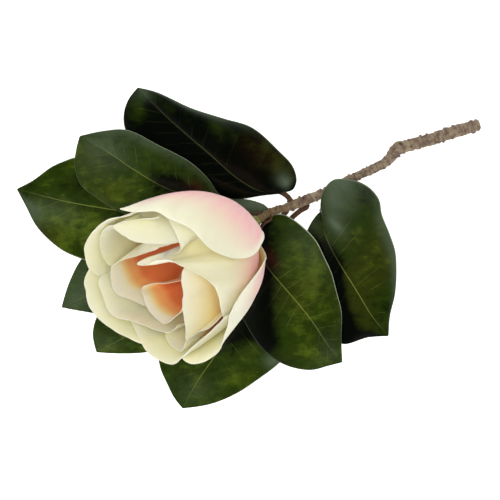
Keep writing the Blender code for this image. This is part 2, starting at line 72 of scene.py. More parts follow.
# Camera: straight above, how far it sees in metres, and what its picture covers
SENSOR = 36
CAMERA_HEIGHT = 2800
CAMERA_REACH = 20
SCALE_HEIGHT = 5
PICTURE_SIDE = 500
MM_PER_PIXEL = 0.8

# Twig: centre line (x, y, z) and radius, from the cut end to the bloom
TWIG_LINE = (
    (183.8, 100.7, 4.8, 4.5), (171, 96.8, 5, 4.7), (157, 92.3, 5.2, 4.8), (144, 88.3, 5.6, 4.7),
    (132, 85.1, 6.1, 4.6), (124, 82.7, 6.7, 4.8), (118.5, 81, 7.2, 5), (115, 77.8, 7.5, 4.6),
    (111.6, 73.2, 7.9, 4.1), (107, 69.2, 8.4, 3.7), (99, 65.1, 9.3, 3.6), (91, 61.5, 10.2, 3.5),
    (80, 56.1, 11.4, 3.4), (65, 48, 12.8, 3.4), (54, 43.5, 13.7, 3.7), (42, 38.7, 14.6, 3.8),
    (34, 35.6, 15, 3.6), (26, 33, 15.3, 2.9), (18.5, 31, 15.3, 2.7), (12.3, 28.2, 15.5, 2.7),
    (9.1, 25.8, 16.5, 2.7), (6.45, 24.1, 18.95, 2.8),
)
TWIG_RINGS = 72
BARK_DEPTH = 0.28
BARK_SEED = 11
# Knots: place along the twig from 0 to 1, side in degrees, height and half-length in mm
KNOTS = (
    (0.03, 90, 0.5, 3), (0.09, 200, 0.5, 3), (0.14, 95, 0.6, 3), (0.21, 320, 0.5, 4),
    (0.27, 120, 0.5, 4), (0.335, 85, 1.7, 3.2), (0.345, 130, 1.2, 4), (0.43, 280, 0.5, 3),
    (0.50, 60, 0.6, 3), (0.57, 110, 0.8, 3), (0.63, 250, 0.5, 3), (0.70, 300, 0.5, 4),
    (0.77, 290, 0.8, 4), (0.827, 110, 1.0, 4), (0.88, 60, 0.4, 3), (0.95, 80, 0.3, 3),
)

# Bloom: where its axis starts, how far it tips from upright, and which way it faces
BLOOM_ROOT = np.array([-1.6, 19.0, 27.0])
BLOOM_TILT = math.radians(50)
BLOOM_HEADING = math.radians(212.4)
# Globe that a petal follows: radius at its root and the share of its spread there, height of
# the widest part, rise of the crown above that and the most of it that a petal uses, how fast
# the radius shrinks from the widest part, and a plain petal's reach
ROOT_RADIUS = 6.0
ROOT_SPREAD = 0.55
BELLY_HEIGHT = 75.0
CROWN_HEIGHT = 62.0
CROWN_LIMIT = 0.97
FULLNESS = 1.3
REACH_POWER = 2.6
PETAL_THICKNESS = 0.9

# Core of the bloom, along its axis: a receptacle (height, radius) and the carpel cone on it
RECEPTACLE_TOP = 24.0
RECEPTACLE_PROFILE = (
    (-12, 3), (-10.8, 4.3), (-9, 5.1), (-6, 5.4), (-2.5, 5.5), (-0.8, 5.2), (5, 5.2), (14, 5),
    (RECEPTACLE_TOP, 4.9),
)
CONE_HEIGHT = 24.0
CONE_RADIUS = 3.8
CONE_TIP_RADIUS = 0.5
CONE_RINGS = 15
CARPELS_ROUND = 5
CARPEL_RELIEF = 0.16

# Petals, outermost first. A rim point is azimuth in degrees round the bloom's axis, radius
# and height in mm; azimuth 0 is the side that faces up. "sides" holds the azimuths of the two
# sides at the widest part, and "belly" the radius there, at even places from the first side to
# the other. "reach" is in that order: the higher, the nearer the rim a petal leaves its globe.
# "root" is how far up the axis a petal starts.
# The rest is finer form and colour, at places from 0 to 1 along the rim: "curl" is how far the
# rim rolls outward in mm, "pale" how wide in mm its light margin is, partly the petal's own
# paler edge and partly a painted highlight where a rolled lip catches the light, "heart" how
# deep in mm below the rim the warmth of the inner face starts and is full, and "back" the same
# for the outer face, where the warmth is partly painted shade. "blush" has two heights along
# the bloom's axis in mm: below the first the back is fully pink, and above the second it isn't.
# "slot" names a material slot, where not petal_cream; the script doesn't use it.
PLAIN_HEART = ((0, 40, 75), (1, 40, 75))
DEEP_HEART = ((0, 50, 85), (1, 50, 85))
PLAIN_BLUSH = ((0, 20, 60), (1, 20, 60))
PLAIN_PALE = ((0, 2.5), (1, 2.5))
PETALS = {
    "petal_outer_low": dict(
        belly=(61, 61), sides=(138, 222), root=0,
        rim=((147, 78, 94), (153, 80, 105), (157, 82, 109), (163, 83, 110), (170, 86, 111),
             (178, 83, 111), (187, 77, 111), (197, 73, 108), (208, 72, 102), (212, 72, 94)),
        curl=((0, 0.8), (0.5, 1.5), (1, 0.8)), heart=DEEP_HEART),
    "petal_outer_top": dict(
        belly=(61, 60, 57.5, 54.8, 53.8), sides=(-30, 100), root=2,
        reach=(2.6, 2.6, 2.6, 3.5, 6),
        rim=((-19, 34, 18), (-20, 51, 38), (-23, 55, 52), (-17, 57, 74), (-7, 54, 85),
             (3, 54, 91), (12, 54.5, 93), (19, 57, 95.5), (28, 57, 98), (42, 54, 99), (51, 58, 102),
             (73, 58, 105), (83, 64, 107), (80, 60, 100), (86, 55, 84)),
        curl=((0, 0.5), (0.45, 0.6), (0.55, 1.8), (0.66, 3.4), (0.74, 1.2), (0.84, 0.6), (1, 0.4)),
        pale=((0, 2), (0.5, 2.5), (0.6, 7), (0.7, 9), (0.77, 2), (1, 3)),
        blush=((0, 24, 66), (0.3, 32, 82), (0.6, 46, 92), (0.8, 66, 106), (1, 60, 104)),
        slot="petal_blush", heart=DEEP_HEART),
    "petal_outer_right": dict(
        belly=(60, 60, 57.5, 60.3), sides=(-28, -135), root=4, reach=(2.6, 3, 5, 3.5),
        rim=((-34, 51, 38), (-37, 58, 60), (-44, 59, 79), (-55, 56, 83), (-66, 56, 85),
             (-73, 59, 87), (-81, 63, 90), (-88, 69, 95), (-97, 71, 100), (-110, 72.3, 101),
             (-120, 72, 98), (-131, 71.5, 90)),
        slot="petal_blush", curl=((0, 0.8), (0.5, 1.2), (1, 0.8)), heart=DEEP_HEART,
        blush=((0, 40, 90), (0.35, 34, 82), (0.6, 16, 66), (1, 0, 45))),
    "petal_outer_left": dict(
        belly=(57.5, 50.8), sides=(165, 84), root=6, reach=(2.6, 3, 6),
        rim=((155, 70, 103), (149, 73, 108), (141, 76, 108), (134, 75, 109), (123, 70, 109),
             (113, 66, 109), (100, 62, 108), (93, 59.5, 107), (86, 56, 104), (78, 55.7, 99)),
        curl=((0, 0.8), (0.5, 1.2), (1, 0.8)), heart=DEEP_HEART),
    "petal_middle_low": dict(
        belly=(56, 56, 54.5, 56.3), sides=(-178, -62), root=8,
        rim=((-168, 65, 100), (-150, 67, 107), (-144, 70, 108), (-136, 70, 109),
             (-120, 68, 109), (-114, 63, 107), (-102, 56.5, 103), (-91, 54, 98),
             (-77, 53.5, 93), (-65, 54.5, 87)),
        curl=((0, 0.8), (0.5, 1.8), (1, 0.6)), heart=((0, 30, 60), (1, 18, 45))),
    "petal_middle_left": dict(
        belly=(54.3, 52, 49.6), sides=(160, 98), root=9, reach=(2.6, 3, 6),
        rim=((148, 58, 99), (143, 58, 103), (133, 62, 104), (124, 63, 105), (114, 62, 105),
             (104, 58, 105), (99, 53, 101)),
        curl=((0, 0.6), (0.5, 1), (1, 0.6)), heart=((0, 30, 60), (1, 14, 45))),
    "petal_hood": dict(
        belly=(52, 55, 57.5, 51.5), sides=(45, -85), root=10,
        rim=((50, 48, 90), (38, 43.5, 94), (20, 36, 98), (25, 26, 96), (52, 17, 94),
             (98, 20, 98), (120, 24, 106), (111, 18, 106), (53, 17, 106), (16, 24, 104),
             (0, 27, 101), (-18.5, 33.5, 98), (-28, 43, 97), (-35, 47, 94.5), (-45, 47.5, 92),
             (-54, 48.5, 91), (-65, 51, 88), (-82, 52.5, 78)),
        curl=((0, 0), (0.25, 0), (0.36, 0.4), (0.48, 1.2), (0.56, 2.4), (0.75, 2.2), (1, 0.6)),
        pale=((0, 0.1), (0.2, 0.1), (0.4, 1), (0.46, 4), (0.55, 7), (0.7, 4), (1, 2.5)),
        heart=((0, 20, 45), (0.16, 12, 40), (1, 12, 40)),
        blush=((0, 20, 62), (0.5, 30, 72), (0.75, 46, 84), (1, 40, 84))),
    "petal_inner_tongue": dict(
        belly=(53, 53), sides=(-145, -105), root=11,
        rim=((-140, 55, 93), (-134, 56, 99), (-124, 60, 102), (-117, 61, 102),
             (-115, 55, 97), (-111, 50, 91)),
        curl=((0, 0.5), (1, 0.5))),
    "petal_middle_under": dict(
        belly=(52, 50), sides=(150, 235), root=12,
        rim=((155, 67, 102), (159, 70, 106), (168, 68, 108), (178, 70, 109), (182, 68, 109),
             (194, 56, 106), (207, 53, 102), (218, 52, 99), (228, 50, 97), (235, 43, 94)),
        curl=((0, 0.8), (0.5, 1.4), (1, 0.5)), pale=((0, 5), (0.4, 7), (1, 3))),
    "petal_inner_top": dict(
        belly=(48.5, 47.1), sides=(28, 112), root=14, reach=(2.6, 3.5, 7),
        rim=((30, 34, 92), (45, 29.5, 96), (74, 30, 101), (94, 37, 103.5), (101, 47, 105),
             (102, 56.5, 106), (90, 54.2, 105), (72, 50, 99), (57, 50, 93)),
        curl=((0, 0.2), (0.3, 0.6), (0.6, 0.5), (0.7, 0), (1, 0)),
        pale=((0, 1), (0.3, 3), (0.5, 12), (0.62, 6), (0.7, 0.5), (1, 0.1))),
    "petal_inner_left": dict(
        belly=(47.5, 44.5), sides=(121, 60), root=15.5,
        rim=((122, 35.5, 89.5), (119, 31.3, 94.5), (111, 28, 96), (91, 23, 96), (64, 24, 94),
             (43, 28, 92), (35, 32, 88)),
        curl=((0, 0.4), (1, 0.4)), heart=((0, 16, 40), (1, 0, 25))),
    "petal_cup": dict(
        belly=(43, 43), sides=(70, 200), root=17,
        rim=((34, 32, 85), (45, 27, 88), (64, 24, 90), (91, 22.5, 92), (110, 25.5, 93.5),
             (126, 32.4, 96.5), (139, 46, 102), (146, 53, 103), (153, 56, 103), (162, 60, 102),
             (170, 63, 100), (178, 58, 95), (191, 53, 89)),
        slot="petal_apricot", curl=((0, 0.2), (0.5, 0.5), (1, 0.8)),
        heart=((0, -14, 2), (0.3, -12, 6), (0.45, 0, 18), (0.7, 8, 24), (1, 12, 28))),
    "petal_inner_right": dict(
        belly=(40, 40), sides=(-10, -110), root=20,
        rim=((-4, 21, 88), (-4, 20, 94), (-23, 16, 97), (-68, 19, 98), (-92, 24, 98),
             (-108, 43, 98), (-114, 55, 97), (-104, 51, 93), (-94, 52, 88), (-77, 50, 80)),
        curl=((0, 0.3), (0.5, 0.8), (1, 0.8)),
        heart=((0, 4, 20), (1, 8, 30)), back=((0, -15, 90), (1, -15, 90))),
    "petal_spoon": dict(
        belly=(37, 37), sides=(185, 235), root=22,
        rim=((204, 22, 70), (186, 34, 76), (177, 44, 81), (176, 48, 86), (183, 47, 90),
             (193, 49, 92), (207, 50, 93), (216, 49, 93), (227, 40, 91), (236, 33, 88),
             (238, 25, 83)),
        slot="petal_apricot", curl=((0, 0.3), (0.3, 0.8), (0.6, 1), (1, 0.4)),
        pale=((0, 0.1), (0.2, 0.2), (0.34, 3), (1, 3)),
        heart=((0, -8, 4), (0.2, -3, 11), (0.42, 0, 17), (0.7, 5, 18), (1, 3, 14))),
}

# Leaves: where the stalk leaves the twig (0 at its cut end, 1 at the bloom) and its bends,
# the rib from foot to tip, and the two margins, which end at the rib's tip, all (x, y, z).
# "camber" is how far the halves arch up. The midrib stands out below, or above with "rib_up".
# "tone" is a leaf's plain lightness; the lowest, on leaf_top, is painted shade. "shades",
# "wax" and "rust" are soft spots. "shades" lighten or darken a leaf, the dark ones painted
# shade, mostly next to the bloom; "wax" greys the green as a painted sheen, a reflection painted
# into the colour; "rust" turns it red-brown, partly its own colour and partly painted shade at
# the bloom's edge. A spot is (place along the rib, share out to a margin, half-length,
# half-width, amount); shares below 0 are on the left. "margin" is how pale the left and the
# right margins are.
LEAF_THICKNESS = 0.9
STALK_RADIUS = 1.7
STALK_START = 1.2
SEAT_GAP = 0.35
RIB_DEPTH = 0.9
PLAIN_MARGIN = (0.6, 0.6)
LEAVES = {
    "leaf_bottom": dict(
        camber=0, rib_up=True, joins=0.875, stalk=((23.5, 26, 7.8), (14, 13, 3.6)),
        rib=((2, 4, 2), (-12, -6, 1), (-28, -17, 0.45), (-56, -38, 0.45), (-88, -62, 0.45),
             (-123, -82, 0.45)),
        right=((2, 4, 2), (-18, 6, 1.3), (-52, -3, 0.45), (-84, -21, 0.45),
               (-111, -40, 0.45), (-123, -54, 0.45), (-126, -67, 0.45)),
        left=((2, 4, 2), (-2, -14, 1), (-12, -36, 0.45), (-32, -58, 0.45), (-58, -75, 0.45),
              (-83, -82, 0.45), (-104, -83, 0.45)),
        tone=0.9, painted_sheen=((0.97, 0.2, 0.1, 1, 0.2),)),
    "leaf_lower_left": dict(
        camber=1, joins=0.91, stalk=((19.5, 32, 9.6),),
        rib=((15.5, 31.2, 8.5), (-8, 20, 7), (-40, 6, 5), (-80, -13, 3.7), (-116, -30, 3),
             (-151, -46, 1.5)),
        right=((15.5, 32, 8.5), (12, 35.8, 8.9), (5, 38.8, 9.3), (-4, 40.7, 9.5),
               (-24, 41, 8.5), (-48, 36, 7), (-76, 26, 5.2), (-108, 12, 4), (-134, -6, 3.2),
               (-144, -24, 2.4)),
        left=((15.5, 30.2, 8.5), (6, 18, 7.6), (-10, -1, 6), (-36, -22, 4), (-68, -37, 3.3),
              (-100, -48, 2.8), (-120, -51, 2.4), (-135, -49, 1.9)),
        tone=0.9, painted_sheen=((0.92, 0, 0.2, 1.4, 0.4), (0.1, 0.8, 0.16, 0.7, 0.9))),
    "leaf_left": dict(
        camber=2, joins=0.962, stalk=((6, 21.5, 13.8), (1.8, 16.8, 13.8)),
        rib=((-2, 14, 14), (-20, 17, 11), (-56, 22, 9.5), (-103, 31, 7.5),
             (-148, 39, 4.5), (-187, 49, 0.45)),
        right=((-2, 15, 14), (-11, 24, 13), (-36, 38, 10.5), (-72, 56, 8.5), (-108, 70, 7),
               (-140, 74, 6), (-149, 71, 5), (-158, 67, 4), (-175, 55, 2)),
        left=((-2, 14, 14), (-20, 3, 8.5), (-56, -9, 6.4), (-96, -14, 6.3), (-120, -12, 6),
              (-135, -7, 5.5), (-149, -1, 4.5), (-162, 9, 3.5), (-171, 19, 2.5),
              (-180, 36, 1.5)),
        tone=0.95,
        spots_and_painted_shade=((0.72, 0.45, 0.08, 0.25, -0.4), (0.68, -0.5, 0.14, 0.35, 0.5),
                (0.45, 0.3, 0.1, 0.6, -0.3)),
        painted_sheen=((0.9, -0.75, 0.07, 0.3, 0.7), (0.8, -0.3, 0.1, 0.3, 0.25))),
    "leaf_upper_left": dict(
        camber=3, joins=0.972, stalk=((4.3, 28.6, 18.3), (-1, 29.4, 18.8)), stalk_radius=1.2,
        rib=((-6, 30, 18.5), (-20, 35, 19.5), (-41, 41, 20), (-66, 49, 19), (-94, 65, 17),
             (-110, 76, 14.5), (-136, 91, 10)),
        right=((-6, 30, 18.5), (-14, 37, 19), (-25, 45, 19.5), (-33, 56.5, 18.7),
               (-47, 69.5, 18), (-72, 83, 17), (-100, 96, 14), (-117, 95, 12)),
        left=((-6, 29, 18.5), (-19, 24, 16.5), (-48, 22, 15), (-76, 25, 15.5),
              (-103, 30, 14.5), (-123, 42, 13), (-135, 52, 12), (-140, 67, 11),
              (-139, 79, 10.5)),
        tone=0.85, margin=(0.1, 0.8),
        spots_and_painted_shade=((0.42, 0.16, 0.13, 0.2, -0.9), (0.28, 0.1, 0.08, 0.4, -0.7),
                (0.55, 0.55, 0.1, 0.3, 0.2), (0.62, -0.5, 0.12, 0.4, 0.15)),
        painted_sheen=((0.86, 0.2, 0.16, 0.8, 0.4), (0.65, 0.95, 0.3, 0.2, 0.35)),
        red_brown_and_shade=((0.3, 0.4, 0.06, 0.3, 0.6),)),
    "leaf_top": dict(
        camber=3, joins=0.84, stalk=((30.8, 41.7, 15),), stalk_radius=2.1,
        rib=((26, 45.5, 14.5), (8, 47, 15), (-7, 55, 15), (-34, 78, 13), (-66, 106, 8.5),
             (-90, 130, 3.5)),
        right=((26, 46.5, 14.5), (34, 48, 15), (37, 54, 16), (35, 65, 17), (22, 80, 17.5),
               (1, 98, 15), (-21, 105, 11), (-46, 113, 9.5), (-77, 127, 5.5)),
        left=((26, 45, 14.5), (10, 43.4, 13.5), (-10, 40.7, 11.5), (-36, 46, 9), (-66, 66, 6.5),
              (-90, 83, 5), (-100, 97, 4.5), (-101, 109, 5), (-98, 119, 4.5)),
        tone=0.05,
        spots_and_painted_shade=((0.36, 0.85, 0.2, 0.32, 0.5), (0.2, 0.8, 0.1, 0.25, 0.25),
                (0.6, 0.72, 0.12, 0.2, 0.2), (0.84, 0.5, 0.1, 0.35, 0.3),
                (0.86, -0.6, 0.09, 0.4, 0.5), (0.97, 0, 0.07, 1, 0.5)),
        painted_sheen=((0.13, 0.68, 0.05, 0.16, 0.8), (0.76, 0.99, 0.28, 0.12, 0.65),
             (0.97, 0.3, 0.06, 1, 0.5)),
        red_brown_and_shade=((0.32, 0.75, 0.12, 0.3, 0.2),)),
    "leaf_lower": dict(
        camber=1.5, joins=0.796, stalk=((40.5, 31.6, 10.5), (33, 25.2, 9)), stalk_radius=2.1,
        rib=((26, 15, 8.5), (10, -20, 7), (-8, -50, 5.5), (-27, -83, 4), (-42, -105, 2.2),
             (-54, -127, 0.45)),
        right=((26, 16, 8.5), (18, 10, 7.5), (-4, -2, 6), (-32, -20, 4.8), (-58, -42, 4),
               (-71, -62, 3.5), (-74, -77, 3), (-72, -94, 2.2), (-66, -108, 1.6),
               (-61, -118, 1.2)),
        left=((27, 15, 8.5), (37, -2, 6.5), (42, -28, 5), (42, -54, 4), (34, -78, 3),
              (23, -91, 2.2), (6, -104, 1.6), (-9, -114, 1.2), (-30, -123, 0.9)),
        tone=0.95,
        spots_and_painted_shade=((0.5, -0.05, 0.1, 0.35, -1), (0.4, 0, 0.12, 1.2, -0.8),
                (0.7, -0.4, 0.1, 0.4, 0.2)),
        painted_sheen=((0.56, -0.9, 0.035, 0.13, 0.9), (0.9, 0, 0.1, 1, 0.15))),
    "leaf_lower_right": dict(
        camber=2.5, joins=0.945, stalk=((10.8, 20.5, 16.6), (8, 15.5, 17.2)), stalk_radius=1.2,
        rib=((6, 12, 17), (8, 0, 17), (13, -12, 16.5), (24, -26, 15.5), (37, -41, 13),
             (49, -56, 10), (63, -77, 4), (74, -90, 0.45)),
        left=((6, 13, 17), (9, 21, 11.4), (14, 25.8, 10.8), (20, 28.3, 11.2),
              (27, 28.3, 12), (34, 24.8, 13), (45, 16, 14), (53, 7, 13.5), (59, -5, 12.8),
              (65, -18, 12), (69, -33, 11), (73, -49, 9), (73, -70, 5)),
        right=((5, 11, 17), (-2, 2, 13.5), (-6, -14, 11), (-10, -32, 10), (-9, -46, 9.5),
               (-3, -60, 8.5), (9, -78, 7), (24, -90, 5), (38, -95, 3.5), (50, -96, 2.5),
               (62, -93, 1.4)),
        tone=0.95, margin=(1.8, 0.1),
        spots_and_painted_shade=((0.06, -0.4, 0.09, 0.9, -1.6), (0.22, 0.6, 0.25, 0.5, -1.7),
                (0.48, 0.95, 0.15, 0.32, -1.4), (0.17, 0, 0.1, 0.3, -1.2),
                (0.6, 0.3, 0.12, 0.2, 0.3), (0.45, -0.5, 0.2, 0.3, 0.15),
                (0.85, -0.3, 0.08, 0.3, -0.3)),
        painted_sheen=((0.9, 0.1, 0.08, 0.6, 0.2), (0.4, -0.85, 0.15, 0.25, 0.2)),
        red_brown_and_shade=((0.24, -0.18, 0.07, 0.12, 0.7),)),
    "leaf_right": dict(
        camber=1.5, joins=0.69, stalk=((61, 40, 8.6), (58.3, 35, 8.7)),
        rib=((57, 31, 9.5), (61, 10, 12), (72, -12, 11.5), (81, -26, 10), (89, -39, 7.5),
             (97, -52, 4.8), (111, -69, 0.45)),
        left=((56.5, 32, 9.5), (56.2, 36, 15), (57.2, 43, 19), (60, 50, 20.5), (66.5, 56, 21),
              (75, 56.7, 20.5), (86, 54.7, 19), (96, 49, 17.5), (103, 40, 16), (105, 29, 15),
              (111, 14, 13), (116, -1, 11), (117, -14, 9.5), (116, -35, 7), (112, -53, 4)),
        right=((56, 31, 9.5), (49.3, 22.5, 6.8), (45.5, 14, 5), (47, -6, 3.5), (53, -32, 2.5),
               (60, -58, 1.6), (73, -75, 1.1), (95, -70, 1)),
        tone=0.75, margin=(0.5, 0.2),
        spots_and_painted_shade=((0.35, 0.5, 0.18, 0.5, -1.2), (0.6, 0.75, 0.2, 0.4, -1.3),
                (0.85, 1, 0.14, 0.35, -1), (0.3, 0.1, 0.1, 0.14, -0.8),
                (0.5, -0.4, 0.2, 0.35, 0.2), (0.85, -0.3, 0.12, 0.5, -0.15)),
        painted_sheen=((0.2, -0.85, 0.1, 0.55, 0.8), (0.24, -0.33, 0.07, 0.07, 0.8),
             (0.65, -1, 0.35, 0.16, 0.6), (0.1, 0.7, 0.07, 0.6, 0.2))),
}

# Finer form of the petals
PETAL_FINE_ROWS = 52
PETAL_FINE_COLUMNS = 60
CURL_WIDTH = 11
ROW_GATHER = 1.7
RIM_NOTCH = 0.0022
NOTCH_WAVES = 14
RIM_WAVE = 0.22
RIM_WAVES = 9
RIM_HALF = 0.2
RIM_TAPER = 9
BLUSH_MARGIN = 12
# How much of its depth a petal's back takes for the butter coat, which is partly painted shade
BACK_DEPTH = 0.6

# Finer form of the leaves
LEAF_FINE_ROWS = 84
LEAF_HALF_COLUMNS = 18
STALK_FINE_RINGS = 18
FINE_BLADE_SPAN = (0.02, 0.997)
STALK_SPAN = (-0.12, -0.01)
STALK_SWELL = 0.35
VEIN_PAIRS = 13
VEIN_SWEEP = 1.5
VEIN_BEND = 0.75
VEIN_STAGGER = 0.5
MARGIN_HALF = 0.16
MARGIN_WAVE = 0.35
MARGIN_WAVES = 7
QUILTING = 0.045
RIB_GROOVE = 0.35
GROOVE_WIDTH = 0.9
RIB_WIDTH = 1.5

# Finer form of the twig; scars have a least and a most half-length and height
TWIG_FINE_SIDES = 28
TWIG_FINE_RINGS = 330
BARK_ROUGHNESS = 0.34
LUMP_SCALE = 0.32
FURROW_DEPTH = 0.16
FURROWS_ROUND = 4
FURROWS_ALONG = 22
LEAF_SCARS = 150
SCAR_LENGTHS = (0.5, 1.0)
SCAR_HEIGHTS = (0.35, 0.95)
CUT_ROUNDING = 1.1
# Finer form of the bloom's core; the collar is (radius, height above its foot)
CORE_SIDES = 48
RECEPTACLE_RINGS = 60
SCALE_RING = 0.28
SCALE_BUMP = 0.3
STAMEN_RINGS = 3
STAMENS_A_RING = 18
STAMEN_SIDES = 6
STAMEN_STEPS = 8
STAMEN_FOOT = 4.5
STAMEN_HEIGHTS = (9.5, 11.5)
STAMEN_LEANS = (1.6, 2.8)
STAMEN_STEP_DOWN = 1.2
STAMEN_HALF_WIDTH = 0.42
STAMEN_HALF_THICKNESS = 0.2
COLLAR_PROFILE = ((4.0, 0), (5.3, 0), (5.3, 0.6), (4.0, 0.6))

# Colours of the petals
CREAM = (240, 236, 206)
# BUTTER is partly the petals' own deeper yellow and partly painted warm shade deep in the bloom
BUTTER = (244, 237, 176)
TAN = (240, 213, 142)
APRICOT = (236, 163, 100)
# EMBER, the deepest orange, is partly the heart's own colour and partly painted shade deep in the
# cup
EMBER = (224, 124, 72)
PINK = (243, 176, 178)
# RIM_WHITE_AND_HIGHLIGHT is partly the petals' own pale margin and partly a painted highlight on
# rolled lips
RIM_WHITE_AND_HIGHLIGHT = (246, 243, 212)
# Colours of the leaves, from the darkest, which also serves as painted shade, to the veins
LEAF_DARK = (2, 5, 1)
LEAF_MID = (36, 52, 5)
LEAF_LIGHT = (84, 102, 20)
LEAF_OLIVE = (56, 46, 8)
# Red-brown, partly the leaves' own colour and partly painted shade at the bloom's edge
LEAF_RED_BROWN = (52, 12, 6)
# Grey of the painted sheen: the gloss's reflection painted into the colour
LEAF_SHEEN_GREY = (92, 106, 84)
LEAF_VEIN = (124, 132, 62)
LEAF_BACK = (92, 112, 74)
MARGIN_PALE = (196, 204, 176)
# Colours of the twig and of the core
BARK_BROWN = (112, 92, 78)
BARK_GREY = (160, 144, 118)
BARK_PURPLE = (94, 72, 68)
BARK_DARK = (44, 32, 24)
STALK_BROWN = (104, 76, 56)
TWIG_OLIVE = (112, 92, 36)
WOOD = (190, 160, 112)
BUD = (132, 138, 70)
BUD_TIP = (190, 190, 110)
FILAMENT = (228, 206, 150)
ANTHER = (190, 128, 60)
# Colours of the floor
FLOOR_SHADE = (243, 243, 243)
FLOOR_WHITE = (247, 247, 247)

# Petal coats: where each sets in and is full, by mm below the rim and by warmth
BUTTER_BAND = (4.0, 46.0)
TAN_BAND = (0.1, 0.5)
APRICOT_BAND = (0.3, 0.85)
EMBER_BAND = (0.9, 1.4)
RIM_SHARE = 0.3
# Leaf coats: the same by lightness, and how much patches and mottles change the lightness
MID_BAND = (0.1, 0.95)
LIGHT_BAND = (0.9, 1.8)
PATCH_STRENGTH = 2.1
MOTTLE_STRENGTH = 1.3
# Leaf lines, by the share out to the margin; a vein's width and wander are shares of the way
# from one side vein to the next
MIDRIB_EDGE = (0.004, 0.014)
MARGIN_EDGE = (0.975, 0.997)
VEIN_FADE = (0.25, 0.85)
VEIN_WIDTH = 0.035
VEIN_WANDER = 0.35
# Roughness of a leaf's back and stalk
LEAF_DULL = 0.62
# Where the twig turns olive, by the share run along it
OLIVE_END = (0.72, 1.0)


def linear(colour):
    """Screen values from 0 to 255 as linear light, with alpha."""
    share = np.array(colour) / 255
    light = np.where(share <= 0.04045, share / 12.92, ((share + 0.055) / 1.055) ** 2.4)
    return (*light.tolist(), 1.0)


def smooth_step(value, low, high):
    """0 up to low, 1 from high on, and a soft rise between."""
    t = np.clip((value - low) / (high - low), 0, 1)
    return t * t * (3 - 2 * t)


def ripple(places, waves, seed):
    """A smooth uneven line between -1 and 1, with up to that many waves over 0 to 1."""
    draw = np.random.default_rng(seed)
    total = 0
    for _ in range(6):
        total = total + np.sin(2 * math.pi * draw.uniform(0.3, 1) * waves * places
                               + draw.uniform(0, 2 * math.pi))
    return total / 3.5


def smooth_curve(points, at):
    """A smooth curve through the points, read at places from 0 to 1 along it."""
    p = np.asarray(points, float)
    chord = np.linalg.norm(np.diff(p, axis=0), axis=1) ** CHORD_POWER
    marks = np.concatenate([[0], np.cumsum(chord)])
    marks /= marks[-1]
    step = np.diff(marks)[:, None]
    rate = np.diff(p, axis=0) / step
    slope = np.empty_like(p)
    slope[1:-1] = (rate[:-1] * step[1:] + rate[1:] * step[:-1]) / (step[1:] + step[:-1])
    slope[0] = 1.5 * rate[0] - 0.5 * slope[1]
    slope[-1] = 1.5 * rate[-1] - 0.5 * slope[-2]
    at = np.asarray(at, float)
    i = np.clip(np.searchsorted(marks, at, side="right") - 1, 0, len(p) - 2)
    w = (marks[i + 1] - marks[i])[:, None]
    u = (at - marks[i])[:, None] / w
    return ((2 * u**3 - 3 * u**2 + 1) * p[i] + (u**3 - 2 * u**2 + u) * w * slope[i]
            + (3 * u**2 - 2 * u**3) * p[i + 1] + (u**3 - u**2) * w * slope[i + 1])


def bloom_axes():
    """Along the bloom, towards its upward side, and across it."""
    heading = np.array([math.cos(BLOOM_HEADING), math.sin(BLOOM_HEADING), 0])
    up = np.array([0, 0, 1])
    along = math.sin(BLOOM_TILT) * heading + math.cos(BLOOM_TILT) * up
    front = math.sin(BLOOM_TILT) * up - math.cos(BLOOM_TILT) * heading
    return along, front, np.cross(along, front)


ALONG, FRONT, ACROSS = bloom_axes()


def bloom_point(azimuth, radius, height):
    """Points from their places round, out from and along the bloom's axis."""
    azimuth, radius, height = np.broadcast_arrays(azimuth, radius, height)
    return (BLOOM_ROOT + height[..., None] * ALONG
            + (radius * np.cos(azimuth))[..., None] * FRONT
            + (radius * np.sin(azimuth))[..., None] * ACROSS)


def unit(ways):
    """Directions of length 1."""
    return ways / np.maximum(np.linalg.norm(ways, axis=-1, keepdims=True), TINY)


def sheet_normals(sheet):
    return unit(np.cross(np.gradient(sheet, axis=0), np.gradient(sheet, axis=1)))


def run_along(points, axis=0):
    """The length run so far from point to point."""
    steps = np.linalg.norm(np.diff(points, axis=axis), axis=-1)
    start = np.zeros_like(np.take(steps, [0], axis))
    return np.concatenate([start, np.cumsum(steps, axis=axis)], axis=axis)


def turns(count, shift=0):
    """Even angles round a circle."""
    return 2 * math.pi * (np.arange(count) + shift) / count


def ways_round(turn, side, above):
    """Directions round a path, one for each of its points and each angle."""
    return np.cos(turn)[..., None] * side[:, None] + np.sin(turn)[..., None] * above[:, None]


class Nodes:
    """The nodes of a material or of the surround, added one by one."""

    def __init__(self, owner):
        owner.use_nodes = True
        self.tree = owner.node_tree

    def put(self, socket, value):
        """Gives a socket a value, or joins it to another node's output."""
        if isinstance(value, bpy.types.NodeSocket):
            self.tree.links.new(value, socket)
        else:
            socket.default_value = value

    def add(self, kind, inputs=(), **settings):
        node = self.tree.nodes.new("ShaderNode" + kind)
        for key, value in settings.items():
            setattr(node, key, value)
        for key, value in dict(inputs).items():
            self.put(node.inputs[key], value)
        return node

    def spread(self, value, low, high, to_low=0.0, to_high=1.0, course="SMOOTHSTEP"):
        """Maps low to high onto to_low to to_high, smoothly or in a "LINEAR" course."""
        return self.add("MapRange", {"Value": value, "From Min": low, "From Max": high,
                                     "To Min": to_low, "To Max": to_high},
                        interpolation_type=course).outputs[0]


